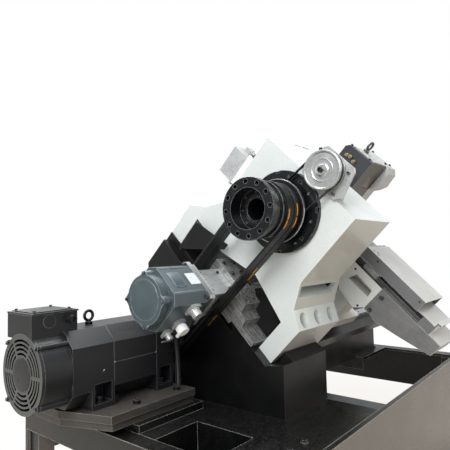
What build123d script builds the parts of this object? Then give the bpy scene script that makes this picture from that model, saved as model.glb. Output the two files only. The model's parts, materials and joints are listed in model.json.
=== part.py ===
from build123d import *
import math
import os

# Slant bed turning lathe with its sheet-metal guards off, seen from the spindle's rear end.
# Millimetres. Sizes are given from the spindle: x runs along it from the rear flange's face
# towards the far end, y to the back of the machine, z up. On the slanted bed, s runs down
# the slope to the operator's side and n stands square to the slope, both from the spindle.

os.makedirs("parts", exist_ok=True)

# Machine frame
spindle_height = 1180
slant_angle = 45
fit_gap = 0.05
run_gap = 0.3
seat_gap = 0.2

# Base frame
frame_left_x = -246
frame_right_x = 1512
frame_front_y = -226
frame_back_y = 900
frame_top_z = -689
foot_height = 30
wall_thick = 12
top_flange = 60
front_flange = 20
left_beam_depth = 95
right_beam_depth = 195
far_wall_depth = 60
post_size = 64
toe_height = 60
stringer_top_z = -1060
stringer_depth = 90
deck_thick = 14
deck_right_x = 455
deck_ledge_x = 561
deck_ledge_thick = 10
far_deck_left_x = 1150
far_deck_front_y = 150
pit_left_x, pit_right_x = -186, 0
pit_front_y, pit_back_y = 0, 230
pit_depth, pit_sheet = 120, 4
foot_pad_radius, foot_pad_thick = 45, 14
foot_stem_radius = 12

# Slant bed
bed_left_x = 172
bed_right_x = 1380
slab_left_x = 205
bed_top_n = -420
bed_slab_thick = 60
bed_slab_front_s, bed_slab_back_s = 300, -360
bed_back_y, bed_back_z = 663, -168
bed_wall_y = 182
bed_wall = 30
bed_cells = 6
plinth_right_x = 464
plinth_front_y = -4
plinth_top_z = -512
plinth_chamfer_y, plinth_chamfer_z = 28, -490
lip_left_x = 240
lip_gap = 2

# Guide rails along the bed
z_rail_left_x = 522
z_rail_width, z_rail_height = 24, 28
z_rail_front_s, z_rail_back_s = 230, -270
rail_screw_pitch = 80
rail_screw_radius = 6

# Headstock
head_rear_x = 210
head_front_x = 503
head_top_n = 152
head_front_s, head_back_s = 210, -231
head_shoulder_n = -129
foot_ledge_s, foot_ledge_n = 254, -218
foot_outer_s, foot_outer_n = 316, -253
foot_inner_s = 248
arch_side_n = -285
arch_s, arch_n = 64, -244
back_shoulder_n = -150
back_ledge_s, back_ledge_n = -287, -221
back_outer_s, back_outer_n = -360, -272
back_inner_s = -290
back_arch_s, back_arch_n = -107, -293
head_bore = 79
bearing_seat_radius = 75
bearing_width = 40
rear_bearing_x, front_bearing_x = 225, 440
pocket_radius = 24
pocket_s = 288
back_pocket_s = -325
pocket_xs = (259, 355, 451)
window_x0, window_x1 = 222, 474
window_n0, window_n1 = -181, -143
window_depth = 45

# Covers on the headstock
cover_radius = 142
cover_thick = 18
cover_bore = 74
cover_notch_angles = (86, -84, -178, 2)
cover_notch_width, cover_notch_depth = 18, 9
cover_screw_angles = (131, -129, 41, -41)
cover_screw_circle = 121
cover_screw_radius = 6
front_cover_radius, front_cover_thick = 120, 8

# Spindle and what turns with it
spindle_bore = 34.7
spindle_tail_x = 47
spindle_tail_radius = 43.5
spindle_seat_radius = 50
spindle_body_radius = 55
spindle_nose_radius = 72
flange_radius = 99
flange_thick = 25
flange_hub_radius = 88
flange_bore = 65.5
flange_floor_x = 50
flange_hole_circle = 85
flange_hole_radius = 7.5
flange_hole_angle = 87.7
flange_holes = 12
floor_hole_circle = 56
floor_hole_radius = 2.5
pulley_left_x, pulley_right_x = 60, 160
pulley_radius = 88
pulley_rim_radius, pulley_rim_width = 94, 6
belt_width = 32
belt_thick = 7
belt_xs = (103, 141)
belt_ribs = 5
rib_depth = 4
ring_left_x, ring_right_x = 161, 167
ring_radius = 108
sprocket_left_x, sprocket_right_x = 168, 190
sprocket_flange, sprocket_flange_width = 65, 2
sprocket_radius = 60
sprocket_teeth = 36
chuck_left_x, chuck_right_x = 523, 598
chuck_radius = 105
chuck_bore = 30
jaw_right_x = 626
jaw_width = 30
jaw_inner, jaw_outer = 42, 100
jaw_slot_depth = 14
chuck_screw_circle = 86

# Spindle motor
motor_y, motor_z = 520, -484
motor_tail_x = -450
shroud_front_x = -350
bell_front_x = -199
stator_front_x = -17
motor_front_x = 62
motor_half_width = 114
motor_half_height = 118
motor_chamfer = 48
motor_seat_radius = 70
rotor_gap = 0.5
shroud_radius = 120
shroud_wall = 5
tie_tube_radius = 9
tie_tube_proud = 1.6
grille_thick = 10
grille_slot_radii = (58, 72, 85, 98)
grille_slot_width = 7.5
grille_spokes = 6
grille_spoke_width = 9
fan_hub_radius, fan_tip_gap, fan_length = 32, 9, 46
fan_blades = 8
motor_shaft_radius = 24
motor_shaft_end_x = 168
motor_pulley_radius = 78
motor_foot_height = 132
motor_foot_thick = 18
foot_pocket_height, foot_pocket_depth = 62, 52
foot_rear_x0, foot_rear_x1 = -283, -199
foot_front_x0, foot_front_x1 = -17, 60
motor_plate_thick = 24
plate_left_x, plate_right_x = -273, 88
plate_back_left_x = -340
plate_front_y, plate_back_y = 322, 690
packer_inset = 8
terminal_x0, terminal_x1 = -450, -298
terminal_y0, terminal_y1 = 462, 610
terminal_top_z = -298
terminal_lid_thick = 8
gland_radius, gland_length = 12, 26
gland_x, knockout_x = -326, -393
gland_z = -328
knockout_radius = 20
eye_bolt_x = -214
eye_ring_radius, eye_wire_radius = 16, 5

# Feed motor for the long axis, on the bed's end
servo_tail_x = -185
servo_front_x = 14
servo_s, servo_n = 4, -386
servo_half = 84
servo_chamfer = 26
servo_cap_length = 34
servo_flange_thick = 18
servo_bracket_right_x = 172
servo_bracket_half_s = 58
servo_bracket_wall = 14
servo_plugs = ((-77, -417, 14, 14), (-58, -350, 17, 36), (-104, -458, 11, 30))
cap_radius, cap_length = 19, 26
conduit_radius = 11
conduit_bend = 26
conduit_exit_x, conduit_exit_s, conduit_exit_gap = -8, -39.6, 1
conduit_lead, conduit_drop = 30, 70
conduit_down_x = 74
coupling_radius, coupling_length = 34, 78
screw_radius = 16
screw_end_x = 1370
screw_block_right_x = 262
screw_block_back_s, screw_block_front_s = -84, 236
screw_block_top_n = -306
shield_x = 180
shield_sheet = 3

# Encoder drive above the spindle
encoder_s, encoder_n = 40, 205
encoder_left_x, encoder_right_x = 166, 190
encoder_radius = 65
encoder_belt_x0, encoder_belt_x1 = 171, 184
encoder_belt_thick = 3
encoder_plate_x0, encoder_plate_x1 = 196, 206
encoder_body_radius, encoder_body_length = 34, 62

# Carriage on the bed
saddle_left_x, saddle_right_x = 626, 866
saddle_plate_left_x = 640
saddle_bottom_n = -372
saddle_plate_thick = 42
saddle_back_s, saddle_front_s = -310, 280
nut_left_x, nut_right_x = 660, 740
z_block_length = 70
trough_left_x, trough_right_x = 640, 850
trough_floor_n, trough_top_n = -240, -84
trough_wall = 16
trough_back_s = -560
bracket_back_s, bracket_front_s = 172, 324
saddle_bracket_right_x = 860
bracket_window_depth = 70
arm_front_s = 606
arm_thick = 14
arm_tip_n = -134
arm_root_n = -192
x_rail_width, x_rail_height = 20, 16
x_rail_xs = (658, 832)
x_rail_front_s = 530
x_block_ss = (-380, -80, 244)
x_block_length = 70
x_screw_n = -193
x_screw_radius = 10
x_nut_back_s = -300
x_servo_back_s = -684
x_servo_half = 75

# Cross slide and its covers
slide_back_s, slide_tongue_s = -430, 285
slide_body_front_s = -60
slide_bottom_n, slide_table_n, slide_top_n = -178, -60, -38
guard_left_x, guard_right_x = 626, 851
guard_back_s, guard_front_s = 172, 468
guard_bottom_n, guard_top_n = -50, -4
guard_sheet = 3
lower_left_x, lower_right_x = 632, 845
lower_cover_back_s, lower_cover_front_s = 368, 545
lower_skirt_s = 497
lower_cover_top_n = -46

# Turret and its drive
turret_s, turret_n = -330, 30
turret_left_x, turret_right_x = 632, 690
turret_radius = 64
turret_stations = 8
turret_stub_radius = 30
tool_reach = 84
turret_body_back_s = -425
drive_left_x, drive_mid_x, drive_right_x = 626, 779, 862
drive_back_s, drive_front_s = -175, -37
drive_bottom_n, drive_top_n = 66, 252
drive_eye_x, drive_eye_s = 700, -120
fitting_spots = ((-124, 217), (-100, 210), (-142, 214))

# The extents of the whole machine put its frame at the middle of its own footprint
slope_sin = math.sin(math.radians(slant_angle))
slope_cos = math.cos(math.radians(slant_angle))
front_reach_y = -(arm_front_s * slope_cos + trough_top_n * slope_sin)
origin_x = -(motor_tail_x + frame_right_x) / 2
origin_y = -(front_reach_y + frame_back_y) / 2
origin_z = spindle_height
floor_z = -spindle_height
frame_bottom_z = floor_z + foot_height


def at(x, y, z):
    """A place given from the spindle."""
    return Location((origin_x + x, origin_y + y, origin_z + z))


def upright(x):
    """A cross-section plane at x, drawn as (y, z)."""
    return Plane(origin=at(x, 0, 0).position, x_dir=(0, 1, 0), z_dir=(1, 0, 0))


def slanted(x):
    """A cross-section plane at x, drawn as (n, s)."""
    return Plane(origin=at(x, 0, 0).position, x_dir=(0, -slope_sin, slope_cos), z_dir=(1, 0, 0))


def along_n(x, s, n):
    """A place on the slope whose z axis stands square to the slope."""
    slope = Plane(origin=at(0, 0, 0).position, x_dir=(1, 0, 0), z_dir=(0, -slope_sin, slope_cos))
    return slope.location * Location((x, -s, n))


def along_s(x, s, n):
    """A place on the slope whose z axis runs down the slope."""
    place = along_n(x, s, n)
    return Plane(origin=place.position, x_dir=(1, 0, 0), z_dir=(0, -slope_cos, -slope_sin)).location


def along_x(x, y, z):
    """A place whose z axis runs along the spindle."""
    return Plane(origin=at(x, y, z).position, x_dir=(0, 1, 0), z_dir=(1, 0, 0)).location


def slope_along_x(x, s, n):
    """A place on the slope whose z axis runs along the spindle and x axis along n."""
    place = along_n(x, s, n)
    return Plane(origin=place.position, x_dir=(0, -slope_sin, slope_cos), z_dir=(1, 0, 0)).location


def block(x0, x1, y0, y1, z0, z1, mode=Mode.ADD):
    """An upright block between six limits."""
    with Locations(at((x0 + x1) / 2, (y0 + y1) / 2, (z0 + z1) / 2)):
        Box(x1 - x0, y1 - y0, z1 - z0, mode=mode)


def slope_block(x0, x1, s0, s1, n0, n1, mode=Mode.ADD):
    """A block that lies with the slope, between six limits."""
    with Locations(along_n((x0 + x1) / 2, (s0 + s1) / 2, (n0 + n1) / 2)):
        Box(x1 - x0, s1 - s0, n1 - n0, mode=mode)


def rod(place, radius, length, mode=Mode.ADD):
    """A cylinder from a place along that place's z axis."""
    with Locations(place):
        Cylinder(radius, length, align=(Align.CENTER, Align.CENTER, Align.MIN), mode=mode)


def tube(place, outer, inner, length, mode=Mode.ADD):
    """A tube from a place along that place's z axis."""
    with Locations(place):
        with BuildSketch(Plane.XY, mode=Mode.PRIVATE) as ring:
            Circle(outer)
            Circle(inner, mode=Mode.SUBTRACT)
        extrude(place * ring.sketch, amount=length, mode=mode)


def prism(plane, points, length, mode=Mode.ADD):
    """A straight prism on a closed outline."""
    with BuildSketch(plane, mode=Mode.PRIVATE) as outline:
        with BuildLine(mode=Mode.PRIVATE) as edge:
            Polyline(*points, close=True)
        make_face(edge.edges())
    extrude(outline.sketch, amount=length, mode=mode)


def slope_prism(x0, x1, points, mode=Mode.ADD):
    """A prism along x on an outline of (s, n) points."""
    prism(slanted(x0), [(n, s) for s, n in points], x1 - x0, mode)


def cut_square(half, chamfer):
    """The corners of a square with chamfered corners, round its centre."""
    flat = half - chamfer
    quarter = [(half, -flat), (half, flat)]
    points = []
    for turn in range(4):
        for u, v in quarter:
            for _ in range(turn):
                u, v = -v, u
            points.append((u, v))
    return points


def deliver(piece, name):
    """Name a finished piece and write it."""
    piece.part.label = name
    export_step(piece.part, f"parts/{name}.step")


# Base frame: four walls of bent plate with a top flange, on square posts
post_xs = (frame_left_x + wall_thick, (deck_right_x + frame_left_x) / 2,
           frame_right_x - wall_thick - post_size)
with BuildPart() as base_frame:
    block(frame_left_x, frame_right_x, frame_front_y, frame_front_y + wall_thick,
          frame_bottom_z + toe_height, frame_top_z)
    block(frame_left_x, frame_right_x, frame_front_y, frame_front_y + front_flange,
          frame_top_z - wall_thick, frame_top_z)
    block(frame_left_x, frame_right_x, frame_back_y - wall_thick, frame_back_y,
          frame_top_z - right_beam_depth, frame_top_z)
    block(frame_left_x, frame_right_x, frame_back_y - top_flange, frame_back_y,
          frame_top_z - wall_thick, frame_top_z)
    block(frame_left_x, frame_left_x + wall_thick, frame_front_y, frame_back_y,
          frame_top_z - left_beam_depth, frame_top_z)
    block(frame_left_x, frame_left_x + top_flange, frame_front_y, frame_back_y,
          frame_top_z - wall_thick, frame_top_z)
    block(frame_right_x - wall_thick, frame_right_x, frame_front_y, frame_back_y,
          frame_top_z - right_beam_depth, frame_top_z)
    block(frame_right_x - top_flange, frame_right_x, frame_front_y, frame_back_y,
          frame_top_z - wall_thick, frame_top_z)
    block(frame_right_x - wall_thick, frame_right_x, frame_front_y, frame_back_y,
          stringer_top_z - stringer_depth, stringer_top_z)
    block(deck_right_x - post_size, deck_right_x, frame_front_y + wall_thick, frame_back_y - wall_thick,
          frame_top_z - deck_thick - post_size, frame_top_z - deck_thick)
    block(deck_right_x - post_size, deck_ledge_x, frame_front_y + wall_thick, frame_back_y - wall_thick,
          frame_top_z - deck_thick - deck_ledge_thick, frame_top_z - deck_thick)
    for post_x in post_xs:
        for post_y in (frame_front_y + wall_thick, frame_back_y - wall_thick - post_size):
            block(post_x, post_x + post_size, post_y, post_y + post_size,
                  frame_bottom_z, frame_top_z - deck_thick)
deliver(base_frame, "base_frame")

# Levelling feet: a pad, a stem and a lock nut under each post
with BuildPart() as levelling_feet:
    for post_x in post_xs:
        for post_y in (frame_front_y + wall_thick, frame_back_y - wall_thick - post_size):
            foot_x, foot_y = post_x + post_size / 2, post_y + post_size / 2
            rod(at(foot_x, foot_y, floor_z), foot_pad_radius, foot_pad_thick)
            rod(at(foot_x, foot_y, floor_z + foot_pad_thick), foot_stem_radius,
                foot_height - foot_pad_thick)
deliver(levelling_feet, "levelling_feet")

# Deck plates that carry the bed and the motor, with the pit and its pan, and the motor's pad
inner_left_x = frame_left_x + top_flange
inner_front_y = frame_front_y + front_flange
inner_back_y = frame_back_y - top_flange
motor_foot_z = motor_z - motor_foot_height
with BuildPart() as deck_plates:
    block(inner_left_x, deck_right_x, inner_front_y, inner_back_y, frame_top_z - deck_thick, frame_top_z)
    block(pit_left_x, pit_right_x, pit_front_y, pit_back_y, frame_top_z - deck_thick, frame_top_z,
          Mode.SUBTRACT)
    block(far_deck_left_x, frame_right_x - top_flange, far_deck_front_y, inner_back_y,
          frame_top_z - deck_thick, frame_top_z)
    block(far_deck_left_x, far_deck_left_x + wall_thick, far_deck_front_y, inner_back_y,
          frame_top_z - far_wall_depth, frame_top_z - deck_thick)
    pan_left_x, pan_top_z = inner_left_x + seat_gap, frame_top_z - deck_thick
    block(pan_left_x, pit_right_x + pit_sheet, pit_front_y - pit_sheet, pit_back_y + pit_sheet,
          pan_top_z - pit_depth, pan_top_z)
    block(pan_left_x + pit_sheet, pit_right_x, pit_front_y, pit_back_y,
          pan_top_z - pit_depth + pit_sheet, frame_top_z, Mode.SUBTRACT)
    block(inner_left_x + seat_gap, plate_right_x + 20, plate_front_y - 20, plate_back_y + 10,
          frame_top_z + seat_gap,
          motor_foot_z - 2 * motor_plate_thick)
deliver(deck_plates, "deck_plates")


def slope_to_y(s, n):
    return -(s * slope_cos + n * slope_sin)


def slope_to_z(s, n):
    return n * slope_cos - s * slope_sin


# Bed: a slanted slab over a cored wedge, with a plinth under the headstock
slab_mid_n = bed_top_n - bed_slab_thick / 2
slab_low_n = bed_top_n - bed_slab_thick - bed_wall
core_front_z = bed_wall_y + slab_mid_n / slope_cos
core_knee_y = slope_to_y(bed_slab_back_s + 14, slab_mid_n)
core_knee_z = slope_to_z(bed_slab_back_s + 14, slab_mid_n)
cell_pitch = (bed_right_x - bed_left_x - bed_wall) / bed_cells
seat_y = slope_to_y(foot_outer_s + lip_gap, bed_top_n)
seat_z = slope_to_z(foot_outer_s + lip_gap, bed_top_n)
lip_n = slope_cos * (plinth_chamfer_z - plinth_chamfer_y)
lip_mid_z = (frame_top_z + seat_z) / 2
with BuildPart() as bed_casting:
    prism(upright(bed_left_x), [
        (bed_wall_y, frame_top_z), (bed_wall_y, core_front_z), (core_knee_y, core_knee_z),
        (bed_back_y, bed_back_z), (bed_back_y, frame_top_z),
    ], bed_right_x - bed_left_x)
    slope_block(slab_left_x, bed_right_x, bed_slab_back_s, bed_slab_front_s,
                bed_top_n - bed_slab_thick, bed_top_n)
    prism(upright(bed_left_x), [
        (plinth_front_y, frame_top_z), (plinth_front_y, plinth_top_z), (seat_y, seat_z),
        (bed_wall_y + bed_wall, bed_wall_y + bed_wall + bed_top_n / slope_cos - lip_gap),
        (bed_wall_y + bed_wall, frame_top_z),
    ], plinth_right_x - bed_left_x)
    prism(upright(lip_left_x), [
        (plinth_front_y, plinth_top_z), (plinth_chamfer_y, plinth_chamfer_z),
        (slope_to_y(foot_outer_s + lip_gap, lip_n), slope_to_z(foot_outer_s + lip_gap, lip_n)),
        (seat_y, seat_z), (seat_y, lip_mid_z), (plinth_front_y, lip_mid_z),
    ], plinth_right_x - lip_left_x)
    for cell in range(bed_cells):
        cell_x = bed_left_x + bed_wall + cell * cell_pitch
        cell_front_y = bed_wall_y + bed_wall
        cell_back_y = bed_back_y - bed_wall
        prism(upright(cell_x), [
            (cell_front_y, frame_top_z), (cell_front_y, cell_front_y + slab_low_n / slope_cos),
            (core_knee_y - bed_wall, core_knee_y - bed_wall + slab_low_n / slope_cos),
            (cell_back_y, bed_back_z - bed_wall), (cell_back_y, frame_top_z),
        ], cell_pitch - bed_wall, Mode.SUBTRACT)
    for bolt_x in pocket_xs:
        for bolt_s in (pocket_s, back_pocket_s):
            rod(along_n(bolt_x, bolt_s, bed_top_n - bed_slab_thick / 2), 8 + seat_gap, bed_slab_thick,
                Mode.SUBTRACT)
deliver(bed_casting, "bed_casting")

# Guide rails, with a counterbored screw row
z_rail_right_x = bed_right_x - bed_wall / 3
with BuildPart() as z_guide_rails:
    for rail_s in (z_rail_front_s, z_rail_back_s):
        slope_block(z_rail_left_x, z_rail_right_x, rail_s - z_rail_width / 2, rail_s + z_rail_width / 2,
                    bed_top_n, bed_top_n + z_rail_height)
        for side in (-1, 1):
            edge_s = rail_s + side * z_rail_width / 2
            slope_block(z_rail_left_x, z_rail_right_x, edge_s - 3, edge_s + 3,
                        bed_top_n + z_rail_height * 0.45, bed_top_n + z_rail_height * 0.72, Mode.SUBTRACT)
        screw_count = int((z_rail_right_x - z_rail_left_x) / rail_screw_pitch)
        for step in range(screw_count):
            screw_x = z_rail_left_x + (step + 0.5) * rail_screw_pitch
            rod(along_n(screw_x, rail_s, bed_top_n + z_rail_height - 9), rail_screw_radius, 12,
                Mode.SUBTRACT)
deliver(z_guide_rails, "z_guide_rails")

# Headstock casting: a block on two flared feet that straddle the feed screw
with BuildPart() as headstock_casting:
    slope_prism(head_rear_x, head_front_x, [
        (head_back_s, head_top_n), (head_front_s, head_top_n), (head_front_s, head_shoulder_n),
        (foot_ledge_s, foot_ledge_n), (foot_outer_s, foot_outer_n), (foot_outer_s, bed_top_n),
        (foot_inner_s, bed_top_n), (foot_inner_s, arch_side_n), (arch_s, arch_n),
        (back_arch_s, back_arch_n), (back_inner_s, arch_side_n), (back_inner_s, bed_top_n),
        (back_outer_s, bed_top_n), (back_outer_s, back_outer_n), (back_ledge_s, back_ledge_n),
        (head_back_s, back_shoulder_n),
    ])
    rod(along_x(head_rear_x, 0, 0), head_bore, head_front_x - head_rear_x, Mode.SUBTRACT)
    for seat_x in (rear_bearing_x, front_bearing_x):
        tube(along_x(seat_x, 0, 0), head_bore + 1, bearing_seat_radius, bearing_width)
    for bolt_x in pocket_xs:
        for bolt_s in (pocket_s, back_pocket_s):
            rod(along_n(bolt_x, bolt_s, bed_top_n), 8 + seat_gap, 200, Mode.SUBTRACT)
            rod(along_n(bolt_x, bolt_s, bed_top_n + 34), pocket_radius, 200, Mode.SUBTRACT)
    slope_prism(window_x0, window_x1, [
        (head_front_s - window_depth, window_n1), (foot_outer_s, window_n1),
        (foot_outer_s, window_n0), (head_front_s - window_depth, window_n0),
    ], Mode.SUBTRACT)
deliver(headstock_casting, "headstock_casting")


def bolt(place, shank_radius, shank_length, head_height):
    """A socket head bolt that hangs from a place, its head above and its shank below."""
    rod(place, shank_radius * 1.55, head_height)
    rod(place * Location((0, 0, -shank_length)), shank_radius, shank_length)
    with Locations(place * Location((0, 0, head_height / 2))):
        with BuildSketch(Plane.XY, mode=Mode.PRIVATE) as hexagon:
            RegularPolygon(shank_radius * 0.8, 6)
        extrude(place * Location((0, 0, head_height / 2)) * hexagon.sketch, amount=head_height,
                mode=Mode.SUBTRACT)


def eye_bolt(place):
    """A lifting eye on a collar, its ring standing along the place's z axis."""
    rod(place, eye_ring_radius * 0.8, 10)
    rod(place, eye_wire_radius * 1.3, 18)
    with Locations(place * Location((0, 0, 14 + eye_ring_radius)) * Rot(90, 0, 0)):
        Torus(eye_ring_radius, eye_wire_radius)


foot_bolt_spots = [
    (x, motor_y + side * (motor_half_width - foot_pocket_depth / 2))
    for x in ((foot_rear_x0 + foot_rear_x1) / 2, (foot_front_x0 + foot_front_x1) / 2)
    for side in (-1, 1)
]
plate_bolt_spots = [(x, y) for x in (-150, 30) for y in (plate_front_y + 34, plate_back_y - 26)]
with BuildPart() as machine_bolts:
    for bolt_x in pocket_xs:
        for bolt_s in (pocket_s, back_pocket_s):
            bolt(along_n(bolt_x, bolt_s, bed_top_n + 34), 8, 34 + bed_slab_thick / 2 - 4, 14)
    for bolt_x, bolt_y in foot_bolt_spots:
        bolt(at(bolt_x, bolt_y, motor_foot_z + motor_foot_thick), 8, motor_foot_thick + 16, 14)
    for bolt_x, bolt_y in plate_bolt_spots:
        bolt(at(bolt_x, bolt_y, motor_foot_z), 8, 2 * motor_plate_thick - 6, 14)
    eye_bolt(at(eye_bolt_x, motor_y + 6, motor_z + motor_half_height))
deliver(machine_bolts, "machine_bolts")

# Bearing covers and bearings
with BuildPart() as bearing_covers:
    tube(along_x(head_rear_x - cover_thick, 0, 0), cover_radius, cover_bore, cover_thick)
    chamfer(bearing_covers.edges().filter_by(GeomType.CIRCLE).group_by(Axis.X)[0], 1.5)
    for angle in cover_notch_angles:
        with Locations(along_x(head_rear_x - cover_thick, 0, 0) * Rot(0, 0, angle)):
            with Locations((cover_radius, 0, 0)):
                Box(2 * cover_notch_depth, cover_notch_width, cover_thick, mode=Mode.SUBTRACT)
    for angle in cover_screw_angles:
        rod(along_x(head_rear_x - cover_thick, 0, 0) * Rot(0, 0,
                                                           angle) * Location((cover_screw_circle, 0, 0)),
            cover_screw_radius, cover_thick * 0.6, Mode.SUBTRACT)
    tube(along_x(head_front_x, 0, 0), front_cover_radius, cover_bore, front_cover_thick)
    with Locations(along_x(head_front_x + front_cover_thick, 0, 0)):
        with PolarLocations(front_cover_radius - 14, 6):
            Hole(4.5, depth=front_cover_thick)
deliver(bearing_covers, "bearing_covers")

with BuildPart() as spindle_bearings:
    for seat_x in (rear_bearing_x, front_bearing_x):
        tube(along_x(seat_x, 0, 0), bearing_seat_radius - fit_gap, spindle_body_radius + fit_gap,
             bearing_width)
deliver(spindle_bearings, "spindle_bearings")

# Spindle: a bored shaft with a nose flange
with BuildPart() as spindle_shaft:
    rod(along_x(spindle_tail_x, 0, 0), spindle_tail_radius, pulley_left_x - spindle_tail_x)
    rod(along_x(pulley_left_x, 0, 0), spindle_seat_radius, head_rear_x - pulley_left_x - 12)
    rod(along_x(head_rear_x - 12, 0, 0), spindle_body_radius, head_front_x - head_rear_x + 12)
    rod(along_x(head_front_x, 0, 0), spindle_nose_radius, chuck_left_x - head_front_x)
    rod(along_x(spindle_tail_x, 0, 0), spindle_bore, chuck_left_x - spindle_tail_x, Mode.SUBTRACT)
    chamfer(spindle_shaft.edges().filter_by(GeomType.CIRCLE).group_by(Axis.X)[0], 2)
deliver(spindle_shaft, "spindle_shaft")

# Rear flange: a deep cup that takes the chuck's closing cylinder
with BuildPart() as rear_flange:
    rod(along_x(0, 0, 0), flange_radius, flange_thick)
    chamfer(rear_flange.edges().filter_by(GeomType.CIRCLE).group_by(Axis.X)[0], 1.5)
    chamfer(rear_flange.edges().filter_by(GeomType.CIRCLE).group_by(Axis.X)[-1], 6)
    rod(along_x(flange_thick, 0, 0), flange_hub_radius, pulley_left_x - flange_thick)
    rod(along_x(0, 0, 0), flange_bore, flange_floor_x, Mode.SUBTRACT)
    rod(along_x(0, 0, 0), spindle_tail_radius + fit_gap, pulley_left_x, Mode.SUBTRACT)
    with Locations(along_x(0, 0, 0)):
        with PolarLocations(flange_hole_circle, flange_holes, start_angle=flange_hole_angle):
            Cylinder(flange_hole_radius, 2 * flange_thick, mode=Mode.SUBTRACT)
    with Locations(along_x(flange_floor_x, 0, 0)):
        with PolarLocations(floor_hole_circle, 8):
            Cylinder(floor_hole_radius, 12, mode=Mode.SUBTRACT)
deliver(rear_flange, "rear_flange")


def grooved_pulley(plane, radius, x0, x1, bore):
    """A pulley with a rim at each end and rib grooves under each belt, turned as one profile."""
    points = [(x0, bore), (x0, radius + pulley_rim_radius - pulley_radius),
              (x0 + pulley_rim_width, radius + pulley_rim_radius - pulley_radius), (x0 + pulley_rim_width,
                                                                                    radius)]
    rib_pitch = belt_width / belt_ribs
    for belt_x in belt_xs:
        start_x = belt_x - belt_width / 2
        for rib in range(belt_ribs):
            points.append((start_x + rib * rib_pitch, radius))
            points.append((start_x + (rib + 0.5) * rib_pitch, radius - rib_depth))
        points.append((start_x + belt_width, radius))
    points += [(x1, radius), (x1, bore)]
    with BuildSketch(plane, mode=Mode.PRIVATE) as section:
        with BuildLine(mode=Mode.PRIVATE) as edge:
            Polyline(*points, close=True)
        make_face(edge.edges())
    revolve(section.sketch, axis=Axis(plane.origin, (1, 0, 0)))


def axial(y, z):
    """A half-section plane through an axis along x, drawn as (x, radius)."""
    return Plane(origin=at(0, y, z).position, x_dir=(1, 0, 0), z_dir=(0, -1, 0))


with BuildPart() as spindle_pulley:
    grooved_pulley(axial(0, 0), pulley_radius, pulley_left_x, pulley_right_x, spindle_seat_radius + fit_gap)
deliver(spindle_pulley, "spindle_pulley")

with BuildPart() as spacer_ring:
    tube(along_x(ring_left_x, 0, 0), ring_radius, spindle_seat_radius + fit_gap, ring_right_x - ring_left_x)
    chamfer(spacer_ring.edges().filter_by(GeomType.CIRCLE).sort_by(SortBy.RADIUS)[-2:], 0.8)
deliver(spacer_ring, "spacer_ring")


def toothed_wheel(place, radius, flange, length, flange_width, bore):
    """A timing wheel with a guide flange at each end."""
    tube(place, radius, bore, length)
    tube(place, flange, bore, flange_width)
    tube(place * Location((0, 0, length - flange_width)), flange, bore, flange_width)
    with Locations(place * Location((0, 0, length / 2))):
        with PolarLocations(radius, sprocket_teeth):
            Box(3, 3, length - 2 * flange_width, mode=Mode.SUBTRACT)


with BuildPart() as timing_sprocket:
    toothed_wheel(along_x(sprocket_left_x, 0, 0), sprocket_radius, sprocket_flange,
                  sprocket_right_x - sprocket_left_x, sprocket_flange_width, spindle_seat_radius + fit_gap)
deliver(timing_sprocket, "timing_sprocket")

# Chuck: a body with three guided jaws
with BuildPart() as chuck_body:
    tube(along_x(chuck_left_x, 0, 0), chuck_radius, chuck_bore, chuck_right_x - chuck_left_x)
    chamfer(chuck_body.edges().filter_by(GeomType.CIRCLE).sort_by(SortBy.RADIUS)[-2:], 3)
    with Locations(along_x(chuck_right_x, 0, 0)):
        with PolarLocations(chuck_radius / 2, 3):
            Box(chuck_radius + 20, jaw_width + 2 * run_gap, 2 * jaw_slot_depth, mode=Mode.SUBTRACT)
        with PolarLocations(chuck_screw_circle, 3, start_angle=60):
            Hole(6, depth=16)
deliver(chuck_body, "chuck_body")

for jaw in range(3):
    with BuildPart() as chuck_jaw:
        turned = along_x(chuck_right_x - jaw_slot_depth + run_gap, 0, 0) * Rot(0, 0, 120 * jaw)
        jaw_mid = (jaw_inner + jaw_outer) / 2
        jaw_height = jaw_right_x - chuck_right_x + jaw_slot_depth - run_gap
        with Locations(turned * Location((jaw_mid, 0, 0))):
            Box(jaw_outer - jaw_inner, jaw_width, jaw_height / 2,
                align=(Align.CENTER, Align.CENTER, Align.MIN))
        with Locations(turned * Location((jaw_inner + 17, 0, 0))):
            Box(34, jaw_width, jaw_height, align=(Align.CENTER, Align.CENTER, Align.MIN))
    deliver(chuck_jaw, f"chuck_jaw_{jaw + 1}")

# Belts: closed loops round their two wheels
def belt_loop(x0, x1, first, first_radius, second, second_radius, thick):
    """A flat belt round two wheels, each given by its (y, z) centre and radius."""
    with BuildSketch(upright(x0), mode=Mode.PRIVATE) as outer:
        with Locations(first):
            Circle(first_radius + thick)
        with Locations(second):
            Circle(second_radius + thick)
        make_hull()
    with BuildSketch(upright(x0), mode=Mode.PRIVATE) as inner:
        with Locations(first):
            Circle(first_radius)
        with Locations(second):
            Circle(second_radius)
        make_hull()
    extrude(outer.sketch - inner.sketch, amount=x1 - x0)


with BuildPart() as drive_belts:
    for belt_x in belt_xs:
        belt_loop(belt_x - belt_width / 2, belt_x + belt_width / 2, (0, 0), pulley_radius + run_gap,
                  (motor_y, motor_z), motor_pulley_radius + run_gap, belt_thick)
deliver(drive_belts, "drive_belts")

encoder_y, encoder_z = slope_to_y(encoder_s, encoder_n), slope_to_z(encoder_s, encoder_n)
with BuildPart() as encoder_belt:
    belt_loop(encoder_belt_x0, encoder_belt_x1, (0, 0), sprocket_radius + run_gap,
              (encoder_y, encoder_z), sprocket_radius + run_gap, encoder_belt_thick)
deliver(encoder_belt, "encoder_belt")

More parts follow.
